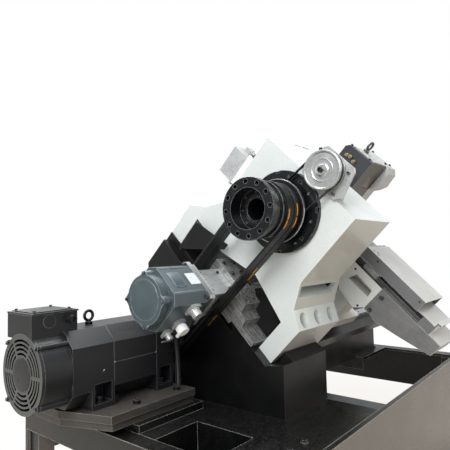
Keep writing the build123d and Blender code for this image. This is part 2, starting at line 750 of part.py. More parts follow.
# Encoder wheel, dished in front, and the plate that carries it
with BuildPart() as encoder_pulley:
    wheel = along_x(encoder_left_x, encoder_y, encoder_z)
    wheel_length = encoder_right_x - encoder_left_x
    toothed_wheel(wheel, sprocket_radius, encoder_radius, wheel_length, 4, 6)
    tube(wheel, encoder_radius - 11, 17, 12, Mode.SUBTRACT)
    rod(wheel * Location((0, 0, -4)), 17, 4)
    rod(wheel * Location((0, 0, -4)), 10, 9, Mode.SUBTRACT)
    rod(wheel * Location((0, 0, -2)), 8.5, 8)
    rod(wheel * Location((0, 0, wheel_length)), 12, encoder_plate_x0 - encoder_right_x + 6)
deliver(encoder_pulley, "encoder_pulley")

with BuildPart() as encoder_bracket:
    slope_prism(encoder_plate_x0, encoder_plate_x1, [
        (-20, 258), (-8, 268), (108, 268), (118, 258), (140, 176), (118, head_top_n),
        (-40, head_top_n),
    ])
    slope_block(encoder_plate_x0, encoder_plate_x1 + 60, -40, 118, head_top_n, head_top_n + 10)
    for rib_s in (-38, 108):
        prism(Plane(along_s(0, rib_s, 0)), [
            (encoder_plate_x1, head_top_n + 10), (encoder_plate_x1 + 50, head_top_n + 10),
            (encoder_plate_x1, head_top_n + 60),
        ], 8)
    rod(along_x(encoder_plate_x0, encoder_y, encoder_z), 12 + fit_gap, 30, Mode.SUBTRACT)
    rod(along_x(encoder_plate_x1, encoder_y, encoder_z), encoder_body_radius, encoder_body_length)
deliver(encoder_bracket, "encoder_bracket")

# Spindle motor: end bell, stator and front bracket in a row on packing plates
def motor_slice(x0, x1):
    """A length of the motor's eight-sided body."""
    with BuildSketch(upright(x0), mode=Mode.PRIVATE) as outline:
        with Locations((motor_y, motor_z)):
            Rectangle(2 * motor_half_width, 2 * motor_half_height)
        chamfer(outline.vertices(), motor_chamfer)
    extrude(outline.sketch, amount=x1 - x0)


def motor_foot(x0, x1):
    """A foot flush with the body, with a bolt pocket in each side."""
    block(x0, x1, motor_y - motor_half_width, motor_y + motor_half_width,
          motor_foot_z, motor_z - motor_half_height + motor_chamfer)
    for side in (-1, 1):
        pocket_y = motor_y + side * (motor_half_width - foot_pocket_depth / 2)
        block(x0 + 10, x1 - 10, pocket_y - foot_pocket_depth / 2, pocket_y + foot_pocket_depth / 2,
              motor_foot_z + motor_foot_thick, motor_foot_z + motor_foot_thick + foot_pocket_height,
              Mode.SUBTRACT)
        rod(at((x0 + x1) / 2, pocket_y, motor_foot_z), 8 + seat_gap, motor_foot_thick, Mode.SUBTRACT)


with BuildPart() as motor_end_bell:
    motor_slice(shroud_front_x, bell_front_x)
    motor_foot(foot_rear_x0, foot_rear_x1)
    rod(along_x(shroud_front_x, motor_y, motor_z), motor_shaft_radius + fit_gap,
        bell_front_x - shroud_front_x, Mode.SUBTRACT)
deliver(motor_end_bell, "motor_end_bell")

with BuildPart() as motor_stator:
    motor_slice(bell_front_x, stator_front_x)
    rod(along_x(bell_front_x, motor_y, motor_z), motor_seat_radius, stator_front_x - bell_front_x,
        Mode.SUBTRACT)
deliver(motor_stator, "motor_stator")

with BuildPart() as motor_front_bracket:
    motor_slice(stator_front_x, motor_front_x)
    motor_foot(foot_front_x0, foot_front_x1)
    rod(along_x(stator_front_x, motor_y, motor_z), motor_shaft_radius + fit_gap,
        motor_front_x - stator_front_x, Mode.SUBTRACT)
deliver(motor_front_bracket, "motor_front_bracket")

# Fan end: shroud with four tie tubes, slotted grille, and the fan behind it
shroud_tail_x = motor_tail_x + grille_thick
tie_tube_offset = (shroud_radius + tie_tube_proud) / math.sqrt(2)
fan_radius = shroud_radius - shroud_wall - fan_tip_gap
with BuildPart() as motor_fan_shroud:
    tube(along_x(shroud_tail_x, motor_y, motor_z), shroud_radius, shroud_radius - shroud_wall,
         shroud_front_x - shroud_tail_x)
    for side_y in (-1, 1):
        for side_z in (-1, 1):
            tube_place = along_x(shroud_tail_x, motor_y + side_y * tie_tube_offset,
                                 motor_z + side_z * tie_tube_offset)
            rod(tube_place, tie_tube_radius, shroud_front_x - shroud_tail_x)
    rod(along_x(shroud_tail_x, motor_y, motor_z), shroud_radius - shroud_wall,
        shroud_front_x - shroud_tail_x, Mode.SUBTRACT)
deliver(motor_fan_shroud, "motor_fan_shroud")

with BuildPart() as motor_fan_grille:
    grille_place = along_x(motor_tail_x, motor_y, motor_z)
    rod(grille_place, shroud_radius, grille_thick)
    for ring_radius_in in grille_slot_radii:
        tube(grille_place, ring_radius_in + grille_slot_width, ring_radius_in, grille_thick, Mode.SUBTRACT)
    slot_outer = grille_slot_radii[-1] + grille_slot_width
    with Locations(grille_place * Location((0, 0, grille_thick / 2))):
        with PolarLocations((grille_slot_radii[0] + slot_outer) / 2, grille_spokes):
            Box(slot_outer - grille_slot_radii[0] + 4, grille_spoke_width, grille_thick)
    for side_y in (-1, 1):
        for side_z in (-1, 1):
            rod(along_x(motor_tail_x, motor_y + side_y * tie_tube_offset,
                        motor_z + side_z * tie_tube_offset),
                tie_tube_radius, grille_thick)
deliver(motor_fan_grille, "motor_fan_grille")

with BuildPart() as cooling_fan:
    fan_place = along_x(shroud_tail_x + 14, motor_y, motor_z)
    rod(fan_place, fan_hub_radius, fan_length)
    with Locations(fan_place * Location((0, 0, fan_length / 2))):
        with PolarLocations((fan_hub_radius + fan_radius) / 2, fan_blades):
            Box(fan_radius - fan_hub_radius + 4, 4, fan_length)
    rod(fan_place, motor_shaft_radius + fit_gap, fan_length, Mode.SUBTRACT)
deliver(cooling_fan, "cooling_fan")

with BuildPart() as motor_shaft:
    rod(along_x(shroud_tail_x + 8, motor_y, motor_z), motor_shaft_radius,
        motor_shaft_end_x - shroud_tail_x - 8)
    rod(along_x(bell_front_x + 12, motor_y, motor_z), motor_seat_radius - rotor_gap,
        stator_front_x - bell_front_x - 24)
deliver(motor_shaft, "motor_shaft")

with BuildPart() as motor_pulley:
    grooved_pulley(axial(motor_y, motor_z), motor_pulley_radius,
                   belt_xs[0] - belt_width / 2 - pulley_rim_width - 2,
                   motor_shaft_end_x - 3, motor_shaft_radius + fit_gap)
deliver(motor_pulley, "motor_pulley")

# Terminal box on the fan end, its underside shaped to the shroud and the bell
terminal_foot_z = motor_z + motor_half_height - 14
with BuildPart() as terminal_box:
    block(terminal_x0, terminal_x1, terminal_y0, terminal_y1, terminal_foot_z,
          terminal_top_z - terminal_lid_thick)
    rod(along_x(terminal_x0, motor_y, motor_z), shroud_radius + seat_gap,
        shroud_front_x - terminal_x0 + seat_gap, Mode.SUBTRACT)
    block(shroud_front_x, terminal_x1, terminal_y0, terminal_y1, terminal_foot_z,
          motor_z + motor_half_height, Mode.SUBTRACT)
    block(terminal_x0 + 6, terminal_x1 - 6, terminal_y0 + 6, terminal_y1 - 6,
          motor_z + shroud_radius + 8, terminal_top_z - terminal_lid_thick, Mode.SUBTRACT)
    front_face = Plane(origin=at(0, terminal_y0, 0).position, x_dir=(1, 0, 0), z_dir=(0, -1, 0)).location
    rod(front_face * Location((knockout_x, gland_z, 0)), knockout_radius, 2)
deliver(terminal_box, "terminal_box")

with BuildPart() as terminal_box_lid:
    block(terminal_x0, terminal_x1 + 3, terminal_y0 - 3, terminal_y1 + 3,
          terminal_top_z - terminal_lid_thick, terminal_top_z - 3)
    block(terminal_x0 + 10, terminal_x1 - 10, terminal_y0 + 10, terminal_y1 - 10, terminal_top_z - 3,
          terminal_top_z)
deliver(terminal_box_lid, "terminal_box_lid")

with BuildPart() as cable_gland:
    gland_place = front_face * Location((gland_x, gland_z, 0))
    with BuildSketch(Plane.XY, mode=Mode.PRIVATE) as gland_nut:
        RegularPolygon(gland_radius + 3, 6)
    extrude(gland_place * gland_nut.sketch, amount=gland_length * 0.4)
    rod(gland_place, gland_radius, gland_length)
    rod(gland_place * Location((0, 0, gland_length - 8)), gland_radius - 4, 8, Mode.SUBTRACT)
deliver(cable_gland, "cable_gland")


def motor_plate(inset, top_z, name):
    """A packing plate under the motor, with holes for the hold-down bolts."""
    with BuildPart() as plate:
        prism(Plane(origin=at(0, 0, top_z - motor_plate_thick).position), [
            (plate_left_x + inset, plate_front_y + inset), (plate_right_x, plate_front_y + inset),
            (plate_right_x, plate_back_y), (plate_back_left_x + inset, plate_back_y),
            (plate_back_left_x + inset, (plate_front_y + plate_back_y) / 2),
        ], motor_plate_thick)
        for bolt_x, bolt_y in foot_bolt_spots:
            rod(at(bolt_x, bolt_y, motor_foot_z - 17), 8 + seat_gap, 17, Mode.SUBTRACT)
        for bolt_x, bolt_y in plate_bolt_spots:
            rod(at(bolt_x, bolt_y, motor_foot_z - 2 * motor_plate_thick + 5), 8 + seat_gap,
                2 * motor_plate_thick, Mode.SUBTRACT)
    deliver(plate, name)


motor_plate(0, motor_foot_z, "motor_plate_upper")
motor_plate(packer_inset, motor_foot_z - motor_plate_thick, "motor_plate_lower")

# Feed motor: eight-sided housing, rear cap and front flange on one screw line
with BuildPart() as servo_housing:
    prism(Plane(slope_along_x(servo_tail_x + servo_cap_length, servo_s, servo_n)),
          cut_square(servo_half,
                     servo_chamfer), servo_front_x - servo_flange_thick - servo_tail_x - servo_cap_length)
    prism(Plane(slope_along_x(servo_front_x - servo_flange_thick, servo_s, servo_n)),
          cut_square(servo_half, 8), servo_flange_thick)
    for corner_n in (-1, 1):
        for corner_s in (-1, 1):
            rod(slope_along_x(servo_front_x - servo_flange_thick, servo_s + corner_s * (servo_half - 13),
                              servo_n + corner_n * (servo_half - 13)),
                6.5, servo_flange_thick, Mode.SUBTRACT)
deliver(servo_housing, "servo_housing")

with BuildPart() as servo_rear_cap:
    prism(Plane(slope_along_x(servo_tail_x, servo_s, servo_n)),
          cut_square(servo_half - 4, servo_chamfer + 16), servo_cap_length)
    chamfer(servo_rear_cap.edges().group_by(Axis.X)[0], 3)
deliver(servo_rear_cap, "servo_rear_cap")

servo_face = along_s(0, servo_s + servo_half, 0)
with BuildPart() as servo_connectors:
    for plug_x, plug_n, plug_radius, plug_length in servo_plugs:
        plug = servo_face * Location((plug_x, plug_n, 0))
        with Locations(plug * Location((0, 0, 5))):
            Box(2 * plug_radius + 8, 2 * plug_radius + 8, 10)
        rod(plug, plug_radius, plug_length)
deliver(servo_connectors, "servo_connectors")

with BuildPart() as connector_cap:
    cap_x, cap_n, _, cap_seat_length = servo_plugs[0]
    cap_place = servo_face * Location((cap_x, cap_n, cap_seat_length))
    rod(cap_place, cap_radius, cap_length)
    chamfer(connector_cap.edges().filter_by(GeomType.CIRCLE), 2)
    rod(along_n(cap_x, servo_s + servo_half + cap_seat_length + cap_length / 2, cap_n - cap_radius - 16), 6,
        22)
deliver(connector_cap, "connector_cap")

# Ribbed conduit from the feed motor's underside down to the motor plate
exit_n = servo_n - servo_half - conduit_exit_gap
exit_y, exit_z = slope_to_y(conduit_exit_s, exit_n), slope_to_z(conduit_exit_s, exit_n)
conduit_route = (
    (conduit_exit_x, exit_y, exit_z), (conduit_exit_x, exit_y + conduit_lead, exit_z - conduit_lead),
    (conduit_down_x, exit_y + conduit_lead, exit_z - conduit_lead - conduit_drop),
    (conduit_down_x, exit_y + conduit_lead, motor_foot_z),
)
with BuildPart() as servo_conduit:
    with BuildLine(mode=Mode.PRIVATE) as conduit_line:
        FilletPolyline(*[at(*point).position for point in conduit_route], radius=conduit_bend)
    conduit_start = conduit_line.line @ 0
    with BuildSketch(Plane(origin=conduit_start, z_dir=conduit_line.line % 0),
                     mode=Mode.PRIVATE) as conduit_round:
        Circle(conduit_radius)
    sweep(conduit_round.sketch, path=conduit_line.line)
deliver(servo_conduit, "servo_conduit")

# Bridge from the feed motor to the bed's end, open inside for the coupling
with BuildPart() as servo_bracket:
    flange_end_x = servo_front_x + servo_flange_thick
    prism(Plane(slope_along_x(servo_front_x, servo_s, servo_n)), cut_square(servo_half - 4, 14),
          servo_flange_thick)
    slope_block(flange_end_x, servo_bracket_right_x, servo_s - servo_bracket_half_s,
                servo_s + servo_bracket_half_s,
                servo_n - servo_bracket_half_s, servo_n + servo_bracket_half_s)
    slope_block(flange_end_x, servo_bracket_right_x - servo_bracket_wall,
                servo_s - servo_bracket_half_s + servo_bracket_wall,
                servo_s + servo_bracket_half_s - servo_bracket_wall,
                servo_n - servo_bracket_half_s + servo_bracket_wall,
                servo_n + servo_bracket_half_s - servo_bracket_wall,
                Mode.SUBTRACT)
    rod(slope_along_x(servo_front_x, servo_s, servo_n), coupling_radius + 6, servo_flange_thick,
        Mode.SUBTRACT)
    rod(slope_along_x(servo_bracket_right_x - servo_bracket_wall, servo_s, servo_n), screw_radius + 4,
        servo_bracket_wall, Mode.SUBTRACT)
deliver(servo_bracket, "servo_bracket")

# Machined bearing block at the bed's end, and the block at its far end
with BuildPart() as screw_supports:
    slope_prism(servo_bracket_right_x, screw_block_right_x, [
        (screw_block_back_s, bed_top_n), (screw_block_back_s, screw_block_top_n), (66, screw_block_top_n),
        (86, screw_block_top_n - 20), (120, screw_block_top_n - 24), (126, screw_block_top_n - 62),
        (158, screw_block_top_n - 66), (164, screw_block_top_n - 96), (screw_block_front_s,
                                                                       screw_block_top_n - 96),
        (screw_block_front_s, bed_top_n),
    ])
    slope_block(servo_bracket_right_x, slab_left_x - seat_gap, 40, 116, bed_top_n - 16, bed_top_n)
    rod(slope_along_x(servo_bracket_right_x, servo_s, servo_n), screw_radius + fit_gap,
        screw_block_right_x - servo_bracket_right_x, Mode.SUBTRACT)
    for bolt_x in (servo_bracket_right_x + 20, screw_block_right_x - 18):
        rod(along_n(bolt_x, 104, screw_block_top_n - 34), 9, 30, Mode.SUBTRACT)
    slope_block(screw_end_x - 40, screw_end_x - 6, servo_s - 55, servo_s + 55, bed_top_n, bed_top_n + 22)
    slope_block(screw_end_x - 40, screw_end_x - 6, servo_s - 36, servo_s + 36, bed_top_n, servo_n + 36)
    rod(slope_along_x(screw_end_x - 40, servo_s, servo_n), screw_radius + fit_gap, 34, Mode.SUBTRACT)
deliver(screw_supports, "screw_supports")

with BuildPart() as z_ballscrew:
    rod(slope_along_x(servo_front_x + run_gap, servo_s, servo_n), screw_radius,
        screw_end_x - servo_front_x - run_gap)
    rod(slope_along_x(flange_end_x + 12, servo_s, servo_n), coupling_radius, coupling_length)
deliver(z_ballscrew, "z_ballscrew")

# Bent sheet shields left on the bed's end behind the belts
with BuildPart() as guard_sheets:
    slope_prism(shield_x, shield_x + shield_sheet, [
        (-264, -280), (-87, -236), (-88, -262), (-150, -318), (-222, -385), (-264, bed_top_n),
    ])
    slope_block(shield_x, shield_x + 60, -264, -250, bed_top_n, bed_top_n + shield_sheet)
deliver(guard_sheets, "guard_sheets")

# Saddle: a base plate on the bed rails, a web, and an open trough along the slope
trough_mid_x = (trough_left_x + trough_right_x) / 2
rail_beam = x_rail_width + 16
with BuildPart() as z_saddle:
    slope_block(saddle_plate_left_x, saddle_right_x, saddle_back_s, saddle_front_s,
                saddle_bottom_n, saddle_bottom_n + saddle_plate_thick)
    slope_block(trough_left_x + 40, trough_right_x - 40, saddle_back_s + 30, saddle_front_s - 30,
                saddle_bottom_n + saddle_plate_thick, trough_floor_n)
    slope_block(trough_left_x, trough_right_x, trough_back_s, bracket_back_s,
                trough_floor_n - trough_wall, trough_floor_n)
    for wall_x in (trough_left_x, trough_right_x - rail_beam):
        slope_block(wall_x, wall_x + rail_beam, trough_back_s, bracket_back_s, trough_floor_n, trough_top_n)
    slope_block(trough_left_x, trough_right_x, trough_back_s, trough_back_s + trough_wall,
                trough_floor_n, trough_top_n)
    slope_prism(saddle_left_x, saddle_bracket_right_x, [
        (bracket_back_s, trough_top_n), (bracket_front_s, trough_top_n), (bracket_front_s, -190),
        (291, -227), (201, -216), (bracket_back_s, -190),
    ])
    slope_prism(saddle_left_x, saddle_left_x + bracket_window_depth, [
        (bracket_back_s + 42, -116), (bracket_front_s - 23, -120), (bracket_front_s - 19, -150),
        (bracket_back_s + 26, -153),
    ], Mode.SUBTRACT)
    slope_block(nut_left_x, nut_right_x, servo_s - 34, servo_s + 34, bed_top_n + 6, saddle_bottom_n)
    rod(slope_along_x(saddle_plate_left_x, servo_s, servo_n), screw_radius + run_gap,
        saddle_right_x - saddle_plate_left_x, Mode.SUBTRACT)
    rod(along_s(trough_mid_x, trough_back_s, x_screw_n), x_screw_radius + fit_gap, trough_wall,
        Mode.SUBTRACT)
    rod(along_s(trough_mid_x, bracket_back_s, x_screw_n), x_screw_radius + fit_gap, 24, Mode.SUBTRACT)
deliver(z_saddle, "z_saddle")


def rail_block(place_box, slot_box):
    """A bearing block with a slot for its rail."""
    slope_block(*place_box)
    slope_block(*slot_box, Mode.SUBTRACT)


with BuildPart() as z_bearing_blocks:
    for rail_s in (z_rail_front_s, z_rail_back_s):
        slot_s = z_rail_width / 2 + run_gap
        for block_x in (saddle_plate_left_x + 8, saddle_right_x - 8 - z_block_length):
            rail_block(
                (block_x, block_x + z_block_length, rail_s - z_rail_width, rail_s + z_rail_width,
                 bed_top_n + 4, saddle_bottom_n),
                (block_x, block_x + z_block_length, rail_s - slot_s, rail_s + slot_s,
                 bed_top_n + 4, bed_top_n + z_rail_height + run_gap))
deliver(z_bearing_blocks, "z_bearing_blocks")

# Arm that carries the cross rails out past the bracket, boxed in plate
with BuildPart() as saddle_arm_plates:
    for plate_x in (saddle_left_x, trough_right_x - arm_thick):
        slope_prism(plate_x, plate_x + arm_thick, [
            (bracket_front_s, trough_top_n), (arm_front_s, trough_top_n), (arm_front_s, arm_tip_n),
            (494, -170), (391, -199), (bracket_front_s, arm_root_n),
        ])
    slope_block(saddle_left_x, trough_right_x, arm_front_s - 8, arm_front_s, arm_tip_n, trough_top_n)
    slope_block(saddle_left_x, trough_right_x, bracket_front_s, bracket_front_s + 8, arm_root_n,
                trough_top_n)
    for beam_x in (saddle_left_x + arm_thick, trough_right_x - rail_beam):
        slope_block(beam_x, beam_x + rail_beam, bracket_front_s + 8, arm_front_s - 8, trough_top_n - 24,
                    trough_top_n)
deliver(saddle_arm_plates, "saddle_arm_plates")

with BuildPart() as x_guide_rails:
    for rail_x in x_rail_xs:
        slope_block(rail_x - x_rail_width / 2, rail_x + x_rail_width / 2, trough_back_s + 20,
                    x_rail_front_s,
                    trough_top_n, trough_top_n + x_rail_height)
deliver(x_guide_rails, "x_guide_rails")

with BuildPart() as x_servo:
    slope_block(trough_left_x, trough_right_x, trough_back_s - 14, trough_back_s, x_screw_n - x_servo_half,
                x_screw_n + x_servo_half)
    with Locations(along_n(trough_mid_x, (x_servo_back_s + trough_back_s - 14) / 2, x_screw_n)):
        Box(2 * x_servo_half, trough_back_s - 14 - x_servo_back_s, 2 * x_servo_half)
    slope_block(trough_mid_x - 20, trough_mid_x + 20, x_servo_back_s + 24, x_servo_back_s + 54,
                x_screw_n + x_servo_half, x_screw_n + x_servo_half + 22)
deliver(x_servo, "x_servo")

with BuildPart() as x_ballscrew:
    rod(along_s(trough_mid_x, trough_back_s + seat_gap, x_screw_n), x_screw_radius,
        bracket_back_s + 22 - trough_back_s - seat_gap)
deliver(x_ballscrew, "x_ballscrew")

# Cross slide: a table on four rail blocks, with a nut body hanging in the trough
table_left_x, table_right_x = saddle_left_x + 8, trough_right_x + 6
with BuildPart() as cross_slide:
    slope_block(table_left_x, table_right_x, slide_back_s, guard_back_s, slide_table_n, slide_top_n)
    slope_block(table_left_x, turret_right_x + 6, turret_s - tool_reach - 8, turret_s + tool_reach + 8,
                slide_table_n, slide_top_n, Mode.SUBTRACT)
    slope_block(table_left_x + 6, trough_right_x - 8, guard_back_s, slide_tongue_s, slide_table_n,
                slide_table_n + 8)
    slope_block(trough_left_x + rail_beam + 14, trough_right_x - rail_beam - 14, slide_back_s,
                slide_body_front_s,
                slide_bottom_n, slide_table_n)
    slope_block(trough_mid_x - 26, trough_mid_x + 26, x_nut_back_s, x_nut_back_s + 80, x_screw_n - 24,
                slide_bottom_n)
    rod(along_s(trough_mid_x, slide_back_s, x_screw_n), x_screw_radius + run_gap,
        slide_body_front_s - slide_back_s, Mode.SUBTRACT)
    slope_block(table_left_x + 6, trough_right_x - 8, guard_back_s - 12, guard_back_s, slide_top_n,
                guard_top_n - 6)
deliver(cross_slide, "cross_slide")

with BuildPart() as x_bearing_blocks:
    for rail_x in x_rail_xs:
        slot_x = x_rail_width / 2 + run_gap
        for block_s in x_block_ss:
            rail_block(
                (rail_x - x_rail_width, rail_x + x_rail_width, block_s - x_block_length / 2,
                 block_s + x_block_length / 2, trough_top_n + 2, slide_table_n),
                (rail_x - slot_x, rail_x + slot_x, block_s - x_block_length / 2,
                 block_s + x_block_length / 2,
                 trough_top_n + 2, trough_top_n + x_rail_height + run_gap))
deliver(x_bearing_blocks, "x_bearing_blocks")

# Folded covers: the moving one over the slide's front, the fixed one under it
with BuildPart() as slide_cover:
    slope_block(guard_left_x, guard_right_x, guard_back_s, guard_front_s, guard_bottom_n, guard_top_n)
    slope_block(guard_left_x + guard_sheet, guard_right_x - guard_sheet, guard_back_s + guard_sheet,
                guard_front_s,
                guard_bottom_n, guard_top_n - guard_sheet, Mode.SUBTRACT)
    slope_block(guard_left_x + guard_sheet, guard_right_x - guard_sheet, guard_back_s,
                guard_back_s + guard_sheet,
                guard_bottom_n, lower_cover_top_n + 2, Mode.SUBTRACT)
deliver(slide_cover, "slide_cover")

with BuildPart() as lower_cover:
    slope_block(lower_left_x, lower_right_x, lower_cover_back_s, lower_cover_front_s,
                lower_cover_top_n - guard_sheet, lower_cover_top_n)
    for skirt_x in (lower_left_x, lower_right_x - guard_sheet):
        slope_block(skirt_x, skirt_x + guard_sheet, lower_skirt_s, lower_cover_front_s,
                    trough_top_n, lower_cover_top_n)
    slope_block(lower_left_x, lower_right_x, lower_cover_front_s, lower_cover_front_s + 6,
                trough_top_n, lower_cover_top_n + 18)
    slope_block(lower_left_x, lower_right_x, lower_cover_front_s, lower_cover_front_s + 16,
                lower_cover_top_n + 12, lower_cover_top_n + 18)
    slope_block(saddle_left_x, trough_right_x, lower_cover_front_s + 6, arm_front_s,
                trough_top_n, trough_top_n + guard_sheet)
deliver(lower_cover, "lower_cover")

# Turret: a housing on the slide, a disc with tool blocks, and its drive on top
with BuildPart() as turret_body:
    slope_block(turret_right_x + 10, table_right_x + 4, turret_body_back_s, drive_front_s, slide_top_n,
                drive_bottom_n)
    rod(slope_along_x(turret_right_x + 10, turret_s, turret_n), turret_stub_radius + fit_gap, 60,
        Mode.SUBTRACT)
    slope_block(table_left_x, turret_right_x + 10, turret_s + tool_reach + 14, drive_front_s,
                slide_top_n, drive_bottom_n)
deliver(turret_body, "turret_body")

with BuildPart() as turret_disc:
    rod(slope_along_x(turret_left_x, turret_s, turret_n), turret_radius, turret_right_x - turret_left_x)
    chamfer(turret_disc.edges().filter_by(GeomType.CIRCLE), 4)
    with Locations(slope_along_x((turret_left_x + turret_right_x) / 2, turret_s, turret_n)):
        with PolarLocations((turret_radius - 8 + tool_reach) / 2, turret_stations):
            Box(tool_reach - turret_radius + 8, 26, 44)
    rod(slope_along_x(turret_right_x, turret_s, turret_n), turret_stub_radius, 60)
deliver(turret_disc, "turret_disc")

with BuildPart() as turret_motor:
    slope_prism(drive_left_x, drive_mid_x, [
        (drive_back_s, drive_bottom_n), (drive_back_s, drive_top_n - 14), (drive_back_s + 14, drive_top_n),
        (drive_front_s, drive_top_n), (drive_front_s, drive_bottom_n),
    ])
    slope_block(drive_mid_x - 75, drive_mid_x - 8, drive_front_s - 3, drive_front_s, drive_top_n - 116,
                drive_top_n - 62, Mode.SUBTRACT)
deliver(turret_motor, "turret_motor")

with BuildPart() as turret_motor_cover:
    slope_prism(drive_mid_x, drive_right_x, [
        (drive_back_s + 4, drive_bottom_n), (drive_back_s + 4, drive_top_n + 5), (-32, drive_top_n + 5),
        (-14, 238), (-9, 180), (-25, 151), (-43, 131), (-43, drive_bottom_n),
    ])
    slope_block(drive_left_x + 30, drive_mid_x, drive_back_s + 30, drive_front_s - 6, drive_top_n,
                drive_top_n + 5)
deliver(turret_motor_cover, "turret_motor_cover")

with BuildPart() as turret_eye_bolt:
    eye_bolt(along_n(drive_eye_x, drive_eye_s, drive_top_n + 5))
deliver(turret_eye_bolt, "turret_eye_bolt")

with BuildPart() as drive_fittings:
    for fitting_s, fitting_n in fitting_spots:
        rod(slope_along_x(drive_left_x, fitting_s, fitting_n) * Rot(180, 0, 0), 8, 10)
        rod(slope_along_x(drive_left_x - 10, fitting_s, fitting_n) * Rot(180, 0, 0), 5.5, 8)
deliver(drive_fittings, "drive_fittings")
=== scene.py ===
"""Looks for the slant bed lathe: a finish for every part, and the small pieces that the solids leave out."""

import json
import math

import bmesh
import bpy
from mathutils import Matrix, Vector


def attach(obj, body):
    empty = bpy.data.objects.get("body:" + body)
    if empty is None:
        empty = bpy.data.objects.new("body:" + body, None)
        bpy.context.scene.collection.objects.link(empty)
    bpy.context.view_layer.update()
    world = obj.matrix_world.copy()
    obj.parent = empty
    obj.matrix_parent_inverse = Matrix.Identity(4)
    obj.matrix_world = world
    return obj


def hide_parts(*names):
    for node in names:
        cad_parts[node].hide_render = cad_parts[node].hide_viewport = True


bl_info = {
    "name": "Slant bed lathe looks",
    "version": (1, 0, 0),
    "blender": (4, 5, 0),
    "location": "View3D > Sidebar > Lathe",
    "description": "Finishes, fasteners, threads and marks of a slant bed turning lathe without its guards",
    "category": "Object",
}

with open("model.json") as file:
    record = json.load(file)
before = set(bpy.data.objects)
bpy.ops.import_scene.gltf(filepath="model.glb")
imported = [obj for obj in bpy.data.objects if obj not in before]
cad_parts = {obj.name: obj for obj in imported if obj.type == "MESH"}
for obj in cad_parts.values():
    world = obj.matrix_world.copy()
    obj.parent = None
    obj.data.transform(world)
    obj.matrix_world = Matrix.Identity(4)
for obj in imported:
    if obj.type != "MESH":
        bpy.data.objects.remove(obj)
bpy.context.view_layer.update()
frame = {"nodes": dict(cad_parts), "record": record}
nodes = frame["nodes"]

# The machine's own directions. Millimetres count from the rear flange's face on the spindle axis:
# x along the spindle, s down the slant to the front, n out of the slant.
MM = 0.001
SLANT_COS = math.cos(math.radians(45))
SPINDLE = Vector((-0.531, -0.26545, 1.18))
ENCODER_S, ENCODER_N = 40, 205
X_DIR = Vector((1, 0, 0))
Y_DIR = Vector((0, 1, 0))
Z_DIR = Vector((0, 0, 1))
S_DIR = Vector((0, -SLANT_COS, -SLANT_COS))
N_DIR = Vector((0, -SLANT_COS, SLANT_COS))


def spot(x, y, z):
    """A point in the frame, in metres, from upright machine millimetres."""
    return SPINDLE + Vector((x, y, z)) * MM


def slope_spot(x, s, n):
    """A point in the frame, in metres, from slant machine millimetres."""
    return SPINDLE + (X_DIR * x + S_DIR * s + N_DIR * n) * MM


def facing(point, out, right):
    """A place whose z points out of a surface and whose x points right along it."""
    up = out.cross(right)
    place = Matrix((right, up, out)).transposed().to_4x4()
    place.translation = point
    return place


def on_slope(x, s, n, out, right):
    """A place at a point in slant millimetres."""
    return facing(slope_spot(x, s, n), out, right)


# Corners of a square pattern
CORNERS = [(a, b) for a in (-1, 1) for b in (-1, 1)]


# Meshes
def ridden(name, mesh, body):
    """A finished mesh as a piece that rides on its body."""
    piece = bpy.data.objects.new(name, mesh)
    bpy.context.scene.collection.objects.link(piece)
    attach(piece, body)
    return piece


def piece_from(name, parts, body, slot_name, finish_name=None, smooth=0):
    """One piece from bmeshes, in its slot's finish or its own, smooth up to an angle in degrees."""
    mesh = joined(parts)
    if smooth:
        smooth_by_angle(mesh, smooth)
    mesh.materials.clear()
    mesh.materials.append(finish(finish_name or SLOT_FINISH[slot_name]))
    return ridden(name, mesh, body)


def joined(parts):
    """One mesh from several bmeshes, faces outwards."""
    mesh = bpy.data.meshes.new("piece")
    whole = bmesh.new()
    for part in parts:
        bmesh.ops.remove_doubles(part, verts=part.verts, dist=1e-7)
        bmesh.ops.recalc_face_normals(part, faces=part.faces)
        spare = bpy.data.meshes.new("spare")
        part.to_mesh(spare)
        part.free()
        whole.from_mesh(spare)
        bpy.data.meshes.remove(spare)
    whole.to_mesh(mesh)
    whole.free()
    return mesh


def smooth_by_angle(mesh, degrees=32):
    """Soft shading on curves, hard on edges sharper than the angle."""
    mesh.shade_smooth()
    mesh.set_sharp_from_angle(angle=math.radians(degrees))
    return mesh


def shell_of(rings):
    """A closed solid from rings of points with the same count, capped at both ends."""
    part = bmesh.new()
    rings = [[part.verts.new(point) for point in ring] for ring in rings]
    for low, high in zip(rings, rings[1:]):
        for step in range(len(low)):
            after = (step + 1) % len(low)
            part.faces.new((low[step], low[after], high[after], high[step]))
    part.faces.new(rings[0][::-1])
    part.faces.new(rings[-1])
    return part


def turned(profile, place, steps=48):
    """A solid turned round the place's z from (height, radius) points, axis to axis or round a ring."""
    part = bmesh.new()
    rings = []
    for height, radius in profile:
        if radius == 0:
            rings.append([part.verts.new(place @ Vector((0, 0, height * MM)))])
            continue
        rings.append([
            part.verts.new(place @ Vector((
                radius * MM * math.cos(math.tau * step / steps),
                radius * MM * math.sin(math.tau * step / steps), height * MM)))
            for step in range(steps)
        ])
    for low, high in zip(rings, rings[1:]):
        for step in range(steps):
            after = (step + 1) % steps
            corners = [low[step % len(low)], low[after % len(low)], high[after % len(high)],
                       high[step % len(high)]]
            corners = list(dict.fromkeys(corners))
            if len(corners) > 2:
                part.faces.new(corners)
    return part


def circle(radius, angles):
    """Points at angles in degrees round a circle."""
    return [(radius * math.cos(a), radius * math.sin(a)) for a in map(math.radians, angles)]


